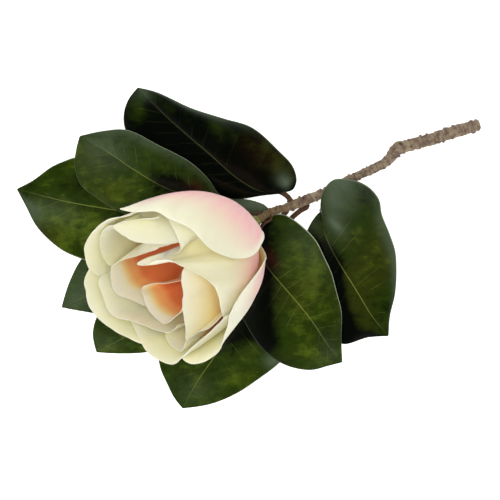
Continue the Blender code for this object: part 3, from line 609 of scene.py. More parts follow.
class Look(Nodes):
    """A material whose base colour is painted on in coats.

    A coat is a node's output or screen values from 0 to 255.
    """

    def __init__(self, name, ground):
        self.material = bpy.data.materials.new(name)
        super().__init__(self.material)
        self.shader = self.tree.nodes["Principled BSDF"]
        self.colour = ground

    def math(self, operation, *values):
        return self.add("Math", enumerate(values), operation=operation).outputs[0]

    def times(self, first, second):
        return self.math("MULTIPLY", first, second)

    def swing(self, value, strength):
        """A value from 0 to 1 as a change down or up, by half the strength at most."""
        return self.math("MULTIPLY_ADD", value, strength, -strength / 2)

    def mix(self, share, first, second, blend="MIX"):
        node = self.add("Mix", {0: share}, data_type="RGBA", blend_type=blend)
        for place, value in ((6, first), (7, second)):
            self.put(node.inputs[place], linear(value) if isinstance(value, tuple) else value)
        return node.outputs[2]

    def paint(self, coat, share, *shares):
        """Lays a coat over the colour so far, as strongly as the product of the shares."""
        for factor in shares:
            share = self.times(share, factor)
        self.colour = self.mix(share, self.colour, coat)

    def darken(self, tone):
        """Multiplies the colour so far by a tone."""
        grey = self.add("CombineColor", {0: tone, 1: tone, 2: tone}).outputs[0]
        self.colour = self.mix(1.0, self.colour, grey, "MULTIPLY")

    def field(self, name):
        """A number that the mesh carries at each point."""
        return self.add("Attribute", attribute_name=name).outputs["Fac"]

    def place(self, stretch=(1, 1, 1), source="Object"):
        """Where a point is, stretched: in metres in the spray's frame, or on the piece's UV."""
        where = self.add("TexCoord").outputs[source]
        return self.add("Mapping", {"Vector": where, "Scale": stretch}).outputs[0]

    def noise(self, scale, detail, roughness=0.5, distortion=0.0, **where):
        return self.add("TexNoise", {"Vector": self.place(**where), "Scale": scale,
                                     "Detail": detail, "Roughness": roughness,
                                     "Distortion": distortion}).outputs["Fac"]

    def bump(self, relief, height_mm, strength):
        node = self.add("Bump", {"Height": relief, "Distance": height_mm * MM,
                                 "Strength": strength})
        self.put(self.shader.inputs["Normal"], node.outputs[0])

    def finish(self, roughness, **sockets):
        self.put(self.shader.inputs["Base Color"], self.colour)
        self.put(self.shader.inputs["Roughness"], roughness)
        for name, value in sockets.items():
            self.put(self.shader.inputs[name.replace("_", " ")], value)
        return self.material


def petal_look():
    """Satin petal: cream, butter and apricot inside, a blush on the back and a pale rim.

    The butter and the deepest orange are partly painted shade, and the pale rim partly a painted
    highlight.
    """
    look = Look("petal_satin", CREAM)
    streaks = look.noise(1.0, detail=4.0, roughness=0.6, stretch=(34, 2.2, 1), source="UV")
    clouds = look.noise(42.0, detail=3.0)
    heart = look.field("heart")
    # Butter by depth below the rim: partly the petals' own colour, partly painted warm shade
    look.paint(BUTTER, look.spread(look.field("depth"), *BUTTER_BAND),
               look.spread(clouds, 0.2, 0.8, 0.7, 1.0))
    # Tan by warmth; on a petal's back, from "back", it is partly painted shade
    look.paint(TAN, look.spread(heart, *TAN_BAND), look.spread(streaks, 0.25, 0.75, 0.8, 1.0))
    look.paint(APRICOT, look.spread(heart, *APRICOT_BAND))
    # Deepest orange: partly own colour, partly painted shade at the bottom of the cup
    look.paint(EMBER, look.spread(heart, *EMBER_BAND))
    look.paint(PINK, look.field("blush"), look.spread(streaks, 0.2, 0.8, 0.75, 1.1))
    # Pale rim: partly the petal's own colour, partly a painted highlight on rolled lips
    look.paint(RIM_WHITE_AND_HIGHLIGHT, look.field("edge"), RIM_SHARE)
    look.darken(look.spread(streaks, 0.2, 0.8, 0.965, 1.0))
    look.bump(streaks, height_mm=0.25, strength=0.35)
    return look.finish(look.spread(clouds, 0.3, 0.7, 0.46, 0.58), Subsurface_Weight=0.5,
                       Subsurface_Radius=(1.0, 0.9, 0.5), Subsurface_Scale=3.5 * MM,
                       Sheen_Weight=0.12, Sheen_Roughness=0.5, Specular_IOR_Level=0.35)


def vein_lines(look, side, along, right):
    """1 on the side veins and 0 between them; they fade towards the margins."""
    sweep = look.times(look.math("POWER", side, VEIN_BEND), VEIN_SWEEP)
    row = look.math("SUBTRACT", look.times(along, float(VEIN_PAIRS)), sweep)
    wander = look.noise(1.0, detail=2.0, stretch=(3, 9, 1), source="UV")
    row = look.math("ADD", row, look.times(wander, VEIN_WANDER))
    row = look.math("FRACT", look.math("ADD", row, look.times(right, VEIN_STAGGER)))
    row = look.math("ABSOLUTE", look.math("SUBTRACT", row, 0.5))
    return look.times(look.spread(row, 0.0, VEIN_WIDTH, 1.0, 0.0),
                      look.spread(side, *VEIN_FADE, 1.0, 0.0))


def leaf_look():
    """Glossy leaf: dark green in patches, pale midrib and side veins, and a pale margin.

    Its lightness holds painted shade, and its grey spots are a painted sheen.
    """
    look = Look("leaf_gloss", LEAF_DARK)
    spot = look.add("SeparateXYZ", {0: look.place(source="UV")}).outputs
    t = look.math("MULTIPLY_ADD", spot[0], 2.0, -1.0)
    side = look.math("ABSOLUTE", t)
    patches = look.noise(30.0, detail=5.0, roughness=0.62, distortion=0.4)
    mottle = look.noise(120.0, detail=5.0, roughness=0.65, stretch=(1, 1.6, 1))
    # A leaf's lightness, which holds the painted shade
    lightness = look.field("tone")
    uneven = look.math("ADD", look.swing(patches, PATCH_STRENGTH),
                       look.swing(mottle, MOTTLE_STRENGTH))
    uneven = look.times(uneven, look.spread(lightness, 0.0, 0.8, 0.3, 1.0))
    tone = look.math("ADD", lightness, uneven)
    look.paint(LEAF_MID, look.spread(tone, *MID_BAND))
    look.paint(LEAF_LIGHT, look.spread(tone, *LIGHT_BAND))
    look.paint(LEAF_OLIVE, look.spread(look.noise(15.0, detail=2.0), 0.54, 0.7, 0.0, 0.28),
               look.spread(tone, 0.1, 0.8))
    # Red-brown spots, partly own colour and partly painted shade at the bloom's edge
    look.paint(LEAF_RED_BROWN, look.field("red_brown_and_shade"))
    # Painted sheen: grey-green spots that stand in for the gloss's reflection
    look.paint(LEAF_SHEEN_GREY, look.field("painted_sheen"), look.spread(patches, 0.3, 0.6, 0.55, 1.0))
    vein = vein_lines(look, side, spot[1], look.math("GREATER_THAN", t, 0.0))
    seen = look.times(look.spread(look.noise(45.0, detail=1.0), 0.42, 0.62, 0.0, 0.36),
                      look.spread(lightness, 0.0, 0.8, 0.15, 1.0))
    look.paint(LEAF_VEIN, vein, seen)
    look.paint(LEAF_VEIN, look.spread(side, *MIDRIB_EDGE, 1.0, 0.0),
               look.spread(tone, -0.2, 0.9, 0.2, 0.75))
    back, stalk = look.field("back"), look.field("stalk")
    look.paint(look.mix(look.times(vein, 0.4), LEAF_BACK, LEAF_VEIN), back)
    look.paint(MARGIN_PALE, look.spread(side, *MARGIN_EDGE, 0.0, 0.6), look.field("hem"))
    fibres = look.noise(320.0, detail=4.0, roughness=0.7)
    look.paint(look.mix(fibres, BARK_DARK, STALK_BROWN), stalk)
    grain = look.times(look.noise(240.0, detail=3.0), 0.25)
    look.bump(look.math("MULTIPLY_ADD", vein, 0.6, grain), height_mm=0.3, strength=0.5)
    dull = look.times(look.math("MAXIMUM", back, stalk), LEAF_DULL)
    roughness = look.math("MAXIMUM", look.spread(patches, 0.3, 0.7, 0.26, 0.34), dull)
    return look.finish(roughness, Specular_IOR_Level=0.1, Coat_Weight=0.12, Coat_Roughness=0.14)


def bark_look():
    """Rough bark, brown to grey, olive towards the bloom and dark in its furrows."""
    look = Look("bark_rough", BARK_BROWN)
    fine = look.noise(900.0, detail=4.0, roughness=0.7)
    coarse = look.noise(170.0, detail=4.0, roughness=0.65)
    look.paint(BARK_GREY, look.spread(coarse, 0.35, 0.65))
    look.paint(TWIG_OLIVE, look.spread(look.field("run"), *OLIVE_END, 0.0, 0.75))
    look.paint(BARK_PURPLE, look.spread(look.field("ridge"), 0.2, 0.9),
               look.spread(fine, 0.35, 0.6, 0.15, 0.75))
    look.paint(BARK_DARK, look.spread(look.field("furrow"), 0.45, 0.0, 0.0, 0.9))
    look.paint(BARK_DARK, look.spread(fine, 0.55, 0.75, 0.0, 0.4))
    look.bump(look.math("MULTIPLY_ADD", fine, 0.5, coarse), height_mm=0.6, strength=0.8)
    return look.finish(look.spread(fine, 0.3, 0.7, 0.75, 0.92))


def wood_look():
    """The cut end of the twig: pale, finely grained wood."""
    look = Look("cut_wood", WOOD)
    grain = look.noise(1500.0, detail=3.0)
    look.paint(BARK_BROWN, look.spread(grain, 0.35, 0.65, 0.1, 0.6))
    look.bump(grain, height_mm=0.2, strength=0.5)
    return look.finish(look.spread(grain, 0.3, 0.7, 0.7, 0.85))


def bud_look():
    """The receptacle and the carpels: yellow-green in mottles, with paler tips."""
    look = Look("bud_green", TWIG_OLIVE)
    mottle = look.noise(260.0, detail=4.0, roughness=0.6)
    look.paint(BUD, look.spread(mottle, 0.3, 0.7))
    look.paint(BUD_TIP, look.spread(look.field("tip"), 0.4, 1.0))
    look.bump(mottle, height_mm=0.4, strength=0.6)
    return look.finish(look.spread(mottle, 0.3, 0.7, 0.5, 0.66))


def stamen_look():
    """Straw-coloured filaments with amber anthers."""
    look = Look("stamen_straw", FILAMENT)
    grain = look.noise(700.0, detail=3.0)
    look.paint(ANTHER, look.spread(look.field("tip"), 0.35, 0.8))
    look.darken(look.spread(grain, 0.3, 0.7, 0.82, 1.0))
    look.bump(grain, height_mm=0.2, strength=0.5)
    return look.finish(look.spread(grain, 0.3, 0.7, 0.5, 0.65))


def add_item(name, data):
    """Puts an object with this data in the scene."""
    item = bpy.data.objects.new(name, data)
    bpy.context.scene.collection.objects.link(item)
    return item


def make_piece(node, points, faces, looks, slot, fields, uv=None, face_looks=None):
    """A mesh that stands for a node. Points are in mm; fields and uv have a row a point."""
    name = "fine_" + node
    mesh = bpy.data.meshes.new(name)
    mesh.from_pydata(((np.asarray(points) - MIDDLE) * MM).tolist(), [], faces)
    mesh.shade_smooth()
    for look in looks:
        mesh.materials.append(look)
    if face_looks is not None:
        mesh.polygons.foreach_set("material_index", np.asarray(face_looks, np.int32))
    for key, values in fields.items():
        layer = mesh.attributes.new(key, "FLOAT", "POINT")
        layer.data.foreach_set("value", np.asarray(values, np.float32).ravel())
    if uv is not None:
        corner = np.empty(len(mesh.loops), np.int32)
        mesh.loops.foreach_get("vertex_index", corner)
        layer = mesh.uv_layers.new(name="UVMap")
        layer.data.foreach_set("uv", np.asarray(uv, np.float32)[corner].ravel())
    item = add_item(name, mesh)
    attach(item, "root")
    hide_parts(node)


def make_loft(node, rings, looks, slot, fields, **more):
    """A piece from closed rings of points, with a fan of faces at each end."""
    rings[..., 2] = np.maximum(rings[..., 2], 0)
    make_piece(node, rings.reshape(-1, 3), loft_faces(*rings.shape[:2]), looks, slot, fields,
               **more)


def evenly(values, places):
    """Values that stand at even places from 0 to 1, read at others."""
    return np.interp(places, np.linspace(0, 1, len(values)), values)


def knots(pairs, places, column=1):
    """A value given at a few places, read at others."""
    table = np.array(pairs, float)
    return np.interp(places, table[:, 0], table[:, column])


def petal_sheet(petal, along, across):
    """The middle surface of a petal, from its root to its rim.

    Each column follows the meridian of a globe and is then drawn out to the rim. "along" has
    a place for each point from 0 at the root to 1 at the rim, and "across" one for each column.
    """
    azimuth, radius, height = np.array(petal["rim"], float).T
    rim = smooth_curve(bloom_point(np.radians(azimuth), radius, height), across)
    rim_height = (rim - BLOOM_ROOT) @ ALONG
    belly_azimuth = np.radians(np.interp(across, (0, 1), petal["sides"]))
    middle = np.radians(np.mean(petal["sides"]))
    root_azimuth = middle + (belly_azimuth - middle) * ROOT_SPREAD
    belly = evenly(petal["belly"], across)
    below = BELLY_HEIGHT - petal["root"]
    past_belly = rim_height - BELLY_HEIGHT
    rise = past_belly / np.where(past_belly > 0, CROWN_HEIGHT, below)
    end = np.arcsin(np.clip(rise, -CROWN_LIMIT, CROWN_LIMIT))
    start = -np.arccos((ROOT_RADIUS / belly) ** (1 / FULLNESS))

    def globe(place):
        angle = start + (end - start) * place
        level = BELLY_HEIGHT + np.where(angle < 0, below, CROWN_HEIGHT) * np.sin(angle)
        opening = smooth_step(angle - start, 0, 0.5 * math.pi)
        return bloom_point(root_azimuth + (belly_azimuth - root_azimuth) * opening,
                           belly * np.cos(angle) ** FULLNESS, level)

    power = evenly(petal.get("reach", (REACH_POWER,)), across)
    return globe(along) + (along**power)[..., None] * (rim - globe(1.0))


def petal_places(seed):
    """Places of a petal's points along each column, notched at the rim, and across."""
    along = 1 - (1 - np.linspace(0, 1, PETAL_FINE_ROWS + 1)) ** ROW_GATHER
    step = np.linspace(0, 1, PETAL_FINE_COLUMNS + 1)
    across = 0.5 * step + 0.25 * (1 - np.cos(math.pi * step))
    notch = RIM_NOTCH * ripple(across, NOTCH_WAVES, seed) * (0.4 + 0.6 * np.sin(math.pi * across))
    grid = along[:, None] + np.zeros(len(across))
    return grid * (1 + notch * grid**8), across


def rim_loop(rows, columns):
    """The points round a grid's border, in order, and the point one step in from each."""
    at = np.arange(rows * columns).reshape(rows, columns)
    loop = np.concatenate([at[0], at[1:, -1], at[-1, -2::-1], at[-2:0:-1, 0]])
    i, j = np.divmod(loop, columns)
    return loop.tolist(), at[np.clip(i, 1, rows - 2), np.clip(j, 1, columns - 2)]


def shell(sheet, outward, half, facing):
    """A closed shell round a sheet with a half thickness at each point and a beaded edge.

    "facing" is 1 if the sheet's own normals point outward, and -1 if they don't. Gives its
    points, outer side first and the bead last, its faces and the order of the bead.
    """
    rows, columns = half.shape
    count = rows * columns
    loop, inward = rim_loop(rows, columns)
    flat = sheet.reshape(-1, 3)
    half = half[..., None]
    away = unit(flat[loop] - flat[inward])
    points = np.concatenate([(sheet + outward * half).reshape(-1, 3),
                             (sheet - outward * half).reshape(-1, 3),
                             flat[loop] + away * RIM_HALF])
    faces = []
    for i in range(rows - 1):
        for j in range(columns - 1):
            a, b = i * columns + j, (i + 1) * columns + j
            quad = (a, b, b + 1, a + 1) if facing > 0 else (a, a + 1, b + 1, b)
            faces += [quad, tuple(k + count for k in reversed(quad))]
    for k, first in enumerate(loop):
        last = (k + 1) % len(loop)
        second, bead_1, bead_2 = loop[last], 2 * count + k, 2 * count + last
        strip = [(first, bead_1, bead_2, second),
                 (bead_1, first + count, second + count, bead_2)]
        faces += strip if facing > 0 else [tuple(reversed(quad)) for quad in strip]
    return points, faces, loop


def make_petal(name, petal, look, seed):
    """A petal of tapering thickness with an uneven, rolled rim."""
    grid, across = petal_places(seed)
    sheet = petal_sheet(petal, grid, across)
    run, wide = run_along(sheet), run_along(sheet, 1)
    depth = run[-1] - run
    margin = np.minimum(depth, np.minimum(wide, wide[:, -1:] - wide))
    normal = sheet_normals(sheet)
    radial = sheet - BLOOM_ROOT
    radial = radial - (radial @ ALONG)[..., None] * ALONG
    facing = np.sign(np.sum(normal * radial))
    lift = knots(petal["curl"], across) * np.clip(1 - depth / CURL_WIDTH, 0, 1) ** 2
    lift = lift + RIM_WAVE * ripple(across, RIM_WAVES, seed + 1) * grid**3
    sheet = sheet + normal * facing * lift[..., None]
    taper = smooth_step(margin, -0.35 * RIM_TAPER, RIM_TAPER)
    half = RIM_HALF + (PETAL_THICKNESS / 2 - RIM_HALF) * taper
    points, faces, loop = shell(sheet, sheet_normals(sheet) * facing, half, facing)

    def warmth(table):
        starts, ends = knots(table, across), knots(table, across, 2)
        return np.clip((depth - starts) / (ends - starts), 0, 2)

    def on_faces(outer, inner):
        both = [np.broadcast_to(outer, grid.shape), np.broadcast_to(inner, grid.shape)]
        return np.concatenate([*(v.ravel() for v in both), both[1].ravel()[loop]])

    heights = (sheet - BLOOM_ROOT) @ ALONG
    pink = petal.get("blush", PLAIN_BLUSH)
    blush = smooth_step(-heights, -knots(pink, across, 2), -knots(pink, across))
    blush = blush * smooth_step(margin, 0, BLUSH_MARGIN)
    inner_heart = warmth(petal.get("heart", PLAIN_HEART))
    outer_heart = warmth(petal["back"]) if "back" in petal else 0
    # Pale rim, partly own colour and partly a painted highlight on rolled lips
    edge = smooth_step(-margin, -knots(petal.get("pale", PLAIN_PALE), across), 0)
    spot = np.stack([np.broadcast_to(across, grid.shape), grid], axis=-1).reshape(-1, 2)
    fields = {"blush": on_faces(blush, 0), "heart": on_faces(outer_heart, inner_heart),
              "edge": on_faces(edge, edge), "depth": on_faces(depth * BACK_DEPTH, depth)}
    make_piece(name, points, faces, [look], petal.get("slot", "petal_cream"), fields,
               np.concatenate([spot, spot, spot[loop]]))


def loft_faces(rings, sides):
    """Faces of a closed tube of rings, with a fan at each end."""
    faces = []
    for i in range(rings - 1):
        for j in range(sides):
            a, b = i * sides + j, i * sides + (j + 1) % sides
            faces.append((a, b, b + sides, a + sides))
    last = (rings - 1) * sides
    for j in range(1, sides - 1):
        faces += [(0, j + 1, j), (last, last + j, last + j + 1)]
    return faces


def tube_frames(path):
    """Two directions square to a path at each of its points, without twist."""
    ahead = unit(np.gradient(path, axis=0))
    up = np.tile([0.0, 0.0, 1.0], (len(path), 1))
    above = unit(up - ahead * np.sum(up * ahead, axis=1, keepdims=True))
    return np.cross(above, ahead), above


def twig_course(rings):
    """Centre line, radius, share run so far, the two cross directions and length of the twig."""
    line = smooth_curve(TWIG_LINE, np.linspace(0, 1, rings))
    path, radius = line[:, :3], line[:, 3]
    run = run_along(path)
    side, above = tube_frames(path)
    return path, radius, run / run[-1], side, above, run[-1]


def knot_rise(run, turn, length):
    """How far the knots stand out at a place along the twig and an angle round it."""
    rise = 0
    for place, face, height, half_length in KNOTS:
        near = np.exp(-(((run - place) * length / half_length) ** 2))
        rise = rise + height * near * np.clip(np.cos(turn - math.radians(face)), 0, 1) ** 2
    return rise


def bark_relief(plain, turn, run):
    """How far the bark is rough at each point: fractal lumps and lengthwise furrows."""
    lumps = np.array([[noise.fractal(Vector(p) * LUMP_SCALE, 1.0, 2.1, 4) for p in ring]
                      for ring in plain])
    round_it = FURROWS_ROUND * np.stack([np.cos(turn), np.sin(turn)], axis=1)
    lengthwise = np.array([[noise.noise(Vector((x, y, FURROWS_ALONG * r))) for x, y in round_it]
                           for r in run])
    return BARK_ROUGHNESS * lumps + FURROW_DEPTH * lengthwise


def make_twig(bark, wood):
    """The twig with its knots, leaf scars and rough bark, and its cut end."""
    path, radius, run, side, above, length = twig_course(TWIG_FINE_RINGS)
    turn = turns(TWIG_FINE_SIDES)
    ways = ways_round(turn, side, above)
    draw = np.random.default_rng(BARK_SEED)
    rise = knot_rise(run[:, None], turn, length)
    ridges = np.zeros((TWIG_FINE_RINGS, TWIG_FINE_SIDES))
    for _ in range(LEAF_SCARS):
        place, face, reach = draw.uniform(0, 1), draw.uniform(0, 2 * math.pi), draw.uniform(0.2, 1)
        near = np.exp(-(((run[:, None] - place) * length / draw.uniform(*SCAR_LENGTHS)) ** 2))
        ridge = near * smooth_step(np.cos(turn - face), -reach, 1)
        ridges = np.maximum(ridges, ridge)
        rise = rise + draw.uniform(*SCAR_HEIGHTS) * ridge
    relief = bark_relief(path[:, None] + radius[:, None, None] * ways, turn, run)
    reach = radius[:, None] + rise + relief
    reach -= CUT_ROUNDING * np.exp(-((run[:, None] * length / CUT_ROUNDING) ** 2))
    fan = TWIG_FINE_SIDES - 2
    face_looks = np.zeros((TWIG_FINE_RINGS - 1) * TWIG_FINE_SIDES + 2 * fan, np.int32)
    face_looks[-2 * fan::2] = 1
    fields = {"run": np.repeat(run, TWIG_FINE_SIDES),
              "furrow": smooth_step(relief, -0.4, 0.3), "ridge": ridges}
    make_loft("twig", path[:, None] + reach[..., None] * ways, [bark, wood], "bark", fields,
              face_looks=face_looks)


def twig_seat(place, towards):
    """Where a stalk starts, just clear of the bark, and a point straight out from there."""
    path, radius, run, side, above, length = twig_course(TWIG_RINGS)
    ring = int(np.argmin(np.abs(run - place)))
    centre, side, above = path[ring], side[ring], above[ring]
    way = np.asarray(towards, float) - centre
    turn = math.atan2(way @ above, way @ side)
    reach = radius[ring] + knot_rise(run[ring], turn, length)
    way = math.cos(turn) * side + math.sin(turn) * above
    return centre + reach * way, centre + (reach + BARK_DEPTH + SEAT_GAP + STALK_START) * way


def blade_sheet(leaf, places, columns):
    """The middle surface of a leaf blade between its rib and its two margins."""
    rib = smooth_curve(leaf["rib"], places)[:, None]
    left, right = (smooth_curve([*leaf[margin], leaf["rib"][-1]], places)[:, None]
                   for margin in ("left", "right"))
    t = np.asarray(columns, float)[None, :, None]
    sheet = rib + np.where(t < 0, -t * (left - rib), t * (right - rib))
    rise = 4 * np.abs(t) * (1 - np.abs(t)) * np.sin(math.pi * places)[:, None, None]
    sheet[..., 2:] += leaf["camber"] * rise
    return sheet


def blade_rings(leaf, places, columns, seed):
    """Closed rings round a leaf blade, each from its left margin over the top and back."""
    sheet = blade_sheet(leaf, places, columns)
    t, s = columns[None, :], places[:, None]
    side = np.abs(t)
    wave = ripple(s + 0.3 * (t > 0), MARGIN_WAVES, seed) * side**3 * MARGIN_WAVE
    row = VEIN_PAIRS * s - VEIN_SWEEP * side**VEIN_BEND + VEIN_STAGGER * (t > 0)
    quilt = -QUILTING * np.cos(2 * math.pi * row) * np.sin(math.pi * np.clip(side, 0, 1))
    sheet[..., 2] += wave + quilt * np.sin(math.pi * s)
    upward = -sheet_normals(sheet)
    half = MARGIN_HALF + (LEAF_THICKNESS / 2 - MARGIN_HALF) * (1 - side**4)
    half = half * np.ones_like(s)
    width = np.linalg.norm(sheet[:, -1] - sheet[:, 0], axis=1)[:, None] / 2
    from_rib = side * width
    groove = RIB_GROOVE * np.exp(-((from_rib / GROOVE_WIDTH) ** 2)) * (1 - 0.6 * s)
    ridge = RIB_DEPTH * (1 - s) * np.exp(-((from_rib / RIB_WIDTH) ** 2))
    above, below = half - groove, half + ridge
    if leaf.get("rib_up"):
        above, below = half + ridge, half - groove
    upper = sheet + upward * above[..., None]
    lower = sheet - upward * below[..., None]
    return np.concatenate([upper, lower[:, ::-1]], axis=1)


def stalk_rings(leaf, across, sides):
    """Round rings from the twig to the blade; across is the way to the blade's left."""
    start = twig_seat(leaf["joins"], leaf["stalk"][0])
    places = np.linspace(0, 1, STALK_FINE_RINGS)
    path = smooth_curve([*start, *leaf["stalk"], leaf["rib"][0]], places)
    ahead = np.gradient(path, axis=0)
    ahead[0] = start[1] - start[0]
    ahead = unit(ahead)
    side = unit(across - ahead * (ahead @ across)[:, None])
    radius = leaf.get("stalk_radius", STALK_RADIUS)
    swell = radius * (1 + STALK_SWELL * np.exp(-((places / 0.16) ** 2)))[:, None, None]
    return path[:, None] + swell * ways_round(turns(sides, 0.5), side, np.cross(ahead, side))


def spots(table, along, share):
    """The sum of soft spots on a blade."""
    total = np.zeros(np.broadcast_shapes(along.shape, share.shape))
    for place, side, length, width, amount in table:
        total += amount * np.exp(-((along - place) / length) ** 2 - ((share - side) / width) ** 2)
    return total


def make_leaf(name, leaf, look, seed):
    """A leaf whose rings go round its stalk first and then round its blade."""
    x = np.linspace(0, 1, LEAF_HALF_COLUMNS + 1)
    half = x - 0.6 * np.sin(2 * math.pi * x) / (2 * math.pi)
    columns = np.concatenate([-half[:0:-1], half])
    places = np.linspace(0, 1, LEAF_FINE_ROWS)
    places = places - 0.35 * np.sin(2 * math.pi * places) / (2 * math.pi)
    places = FINE_BLADE_SPAN[0] + (FINE_BLADE_SPAN[1] - FINE_BLADE_SPAN[0]) * places
    blade = blade_rings(leaf, places, columns, seed)
    sides = blade.shape[1]
    stalk = stalk_rings(leaf, blade[0, 0] - blade[0, len(columns) - 1], sides)
    run = np.concatenate([np.linspace(*STALK_SPAN, STALK_FINE_RINGS), places])
    u = np.concatenate([columns, columns[::-1]]) / 2 + 0.5
    uv = np.stack(np.broadcast_arrays(u[None, :], run[:, None]), axis=-1).reshape(-1, 2)
    share, rows = 2 * u[None, :] - 1, run[:, None]
    lower = np.arange(sides) >= len(columns)
    margins = np.array(leaf.get("margin", PLAIN_MARGIN))
    fields = {"back": lower * np.ones_like(rows),
              "stalk": smooth_step(-rows, -0.02, 0.03) * np.ones(sides),
              # Lightness with its spots; the low and dark parts are painted shade
              "tone": leaf["tone"] + spots(leaf.get("spots_and_painted_shade", ()), rows, share),
              # Painted sheen spots
              "painted_sheen": np.clip(spots(leaf["painted_sheen"], rows, share), 0, 1),
              "red_brown_and_shade": np.clip(spots(leaf.get("red_brown_and_shade", ()), rows, share), 0, 1),
              "hem": np.where(share < 0, *margins) * np.sin(math.pi * np.clip(rows, 0, 1)) ** 0.5}
    make_loft(name, np.concatenate([stalk, blade]), [look], "leaf", fields, uv=uv)


def turned(heights, radii):
    """Rings of points about the bloom's axis."""
    return bloom_point(turns(radii.shape[1]), radii, np.asarray(heights)[:, None])


def make_receptacle(look):
    """The green knob under the bloom, ringed and bumpy where bud scales fell."""
    height, radius = np.array(RECEPTACLE_PROFILE, float).T
    heights = np.linspace(height[0], height[-1], RECEPTACLE_RINGS)
    radii = np.interp(heights, height, radius)[:, None]
    turn, level = turns(CORE_SIDES), heights[:, None]
    rings = SCALE_RING * np.sin(heights * 2.1)[:, None] ** 3 * (1 + 0.4 * np.cos(3 * turn + 1))
    bumps = SCALE_BUMP * np.sin(5 * turn + level) * np.sin(1.3 * level)
    fade = smooth_step(level, -12, -9) * smooth_step(-level, -RECEPTACLE_TOP, -20)
    points = turned(heights, radii + (rings + bumps) * fade)
    make_loft("receptacle", points, [look], "bud_green", {"tip": np.zeros(points[..., 0].size)})


def make_carpel_cone(look):
    """The cone of carpels, in crossing rows that stand out and end in pale tips."""
    rows = 6 * (CONE_RINGS - 1) + 1
    rise = np.linspace(0, 1, rows)[:, None]
    body = CONE_TIP_RADIUS + (CONE_RADIUS - CONE_TIP_RADIUS) * (1 - rise**2.2) ** 0.6
    carpel = np.cos(CARPELS_ROUND * turns(CORE_SIDES)) * np.cos(math.pi * (CONE_RINGS - 1) * rise)
    swell = np.sign(carpel) * np.abs(carpel) ** 0.7
    radii = body * (1 + CARPEL_RELIEF * swell * np.sin(math.pi * rise))
    points = turned(RECEPTACLE_TOP + GAP + CONE_HEIGHT * rise[:, 0], radii)
    make_loft("carpel_cone", points, [look], "bud_green", {"tip": np.clip(carpel, 0, 1)})


def stamen_rings(face, ring, draw):
    """Rings of one flat, tapering stamen, from its foot to its tip, and how far up each is."""
    tall = draw.uniform(*STAMEN_HEIGHTS) - STAMEN_STEP_DOWN * ring
    lean = draw.uniform(*STAMEN_LEANS) + 0.25 * ring
    rise = np.linspace(0, 1, STAMEN_STEPS)
    radius = STAMEN_FOOT + 0.22 * ring + lean * rise**1.4
    centre = bloom_point(face, radius, RECEPTACLE_TOP + GAP + 0.4 + tall * rise)
    round_way = -math.sin(face) * FRONT + math.cos(face) * ACROSS
    out_way = math.cos(face) * FRONT + math.sin(face) * ACROSS
    turn = turns(STAMEN_SIDES)
    wide = STAMEN_HALF_WIDTH * (1 - 0.75 * rise**3)
    thick = STAMEN_HALF_THICKNESS * np.sin(turn) * (1 - 0.5 * rise[:, None])
    rings = (centre[:, None] + (wide[:, None] * np.cos(turn))[..., None] * round_way
             + thick[..., None] * out_way)
    return rings[:, ::-1], rise


def make_stamens(look):
    """Stamens in rings round the foot of the cone, on a low collar."""
    draw = np.random.default_rng(SEED)
    points, faces, tips = [], [], []
    for ring in range(STAMEN_RINGS):
        for k in range(STAMENS_A_RING):
            place = k + ring / STAMEN_RINGS + draw.uniform(-0.1, 0.1)
            rings, rise = stamen_rings(2 * math.pi * place / STAMENS_A_RING, ring, draw)
            base = sum(len(p) for p in points)
            points.append(rings.reshape(-1, 3))
            tips.append(np.repeat(rise, STAMEN_SIDES))
            faces += [tuple(base + i for i in face) for face in loft_faces(*rings.shape[:2])]
    radius, height = np.array(COLLAR_PROFILE).T
    collar = turned(RECEPTACLE_TOP + GAP + height, radius[:, None] * np.ones(CORE_SIDES))
    base = sum(len(p) for p in points)
    size = len(height) * CORE_SIDES
    points.append(collar.reshape(-1, 3))
    tips.append(np.zeros(size))
    for i in range(0, size, CORE_SIDES):
        for j in range(CORE_SIDES):
            a, b = i + j, i + (j + 1) % CORE_SIDES
            c, d = (b + CORE_SIDES) % size, (a + CORE_SIDES) % size
            faces.append((base + a, base + b, base + c, base + d))
    make_piece("stamens", np.concatenate(points), faces, [look], "stamen",
               {"tip": np.concatenate(tips)})


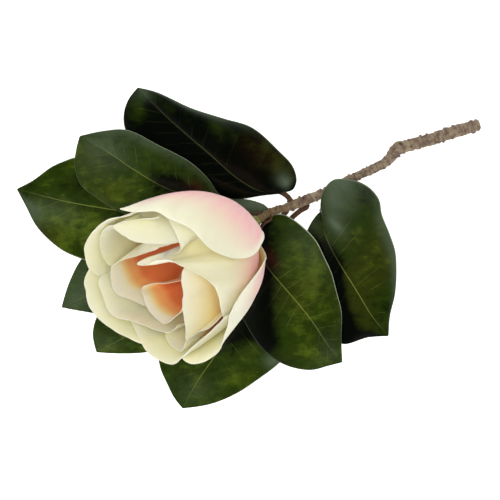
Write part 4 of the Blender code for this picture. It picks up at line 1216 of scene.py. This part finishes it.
def make_floor():
    """A wide white floor just under the spray, with a glow of its own."""
    mesh = bpy.data.meshes.new("floor")
    a, b = -FLOOR_HALF, FLOOR_HALF
    mesh.from_pydata([(a, a, 0), (b, a, 0), (b, b, 0), (a, b, 0)], [], [(0, 1, 2, 3)])
    look = Look("floor_white", FLOOR_SHADE)
    look.paint(FLOOR_WHITE, look.noise(6.0, detail=2.0))
    mesh.materials.append(look.finish(0.9, Emission_Color=(1, 1, 1, 1),
                                      Emission_Strength=FLOOR_GLOW))
    floor = add_item("floor", mesh)
    floor.location.z = -FLOOR_DROP * MM


def make_lamp(name, place, size, watts):
    """A round soft lamp that lights the spray and doesn't show in its gloss."""
    light = bpy.data.lights.new(name, "AREA")
    light.shape = "DISK"
    light.size = size
    light.energy = watts
    item = add_item(name, light)
    item.location = place
    item.rotation_euler = (Vector(LAMP_TARGET) - Vector(place)).to_track_quat("-Z", "Y").to_euler()
    item.visible_glossy = False


def make_camera():
    """Straight above the middle of the picture, with MM_PER_PIXEL at SCALE_HEIGHT."""
    data = bpy.data.cameras.new("camera")
    data.sensor_width = SENSOR
    data.lens = SENSOR * (CAMERA_HEIGHT - SCALE_HEIGHT) / (PICTURE_SIDE * MM_PER_PIXEL)
    data.clip_end = CAMERA_REACH
    item = add_item("camera", data)
    item.location = (np.array([0, 0, CAMERA_HEIGHT]) - MIDDLE) * MM
    bpy.context.scene.camera = item


def make_world():
    """An even pale surround, dark straight above so that level gloss stays deep."""
    world = bpy.data.worlds.new("studio")
    sky = Nodes(world)
    up = sky.add("SeparateXYZ", {0: sky.add("TexCoord").outputs["Generated"]}).outputs[2]
    light = sky.spread(up, *ZENITH_BAND, ZENITH_LIGHT, AROUND_LIGHT, "LINEAR")
    back = sky.tree.nodes["Background"].inputs
    sky.put(back["Strength"], light)
    sky.put(back["Color"], (1, 1, 1, 1))
    bpy.context.scene.world = world


def make_stage():
    """Floor, lamps, surround and camera."""
    make_floor()
    for name, lamp in LAMPS.items():
        make_lamp(name, **lamp)
    make_world()
    bpy.context.scene.view_settings.view_transform = "Standard"
    make_camera()


def main():
    make_twig(bark_look(), wood_look())
    bud = bud_look()
    make_receptacle(bud)
    make_carpel_cone(bud)
    make_stamens(stamen_look())
    petal = petal_look()
    for seed, (name, form) in enumerate(PETALS.items()):
        make_petal(name, form, petal, SEED + 3 * seed)
    leaf = leaf_look()
    for seed, (name, form) in enumerate(LEAVES.items()):
        make_leaf(name, form, leaf, LEAF_SEED + seed)
    make_stage()


main()
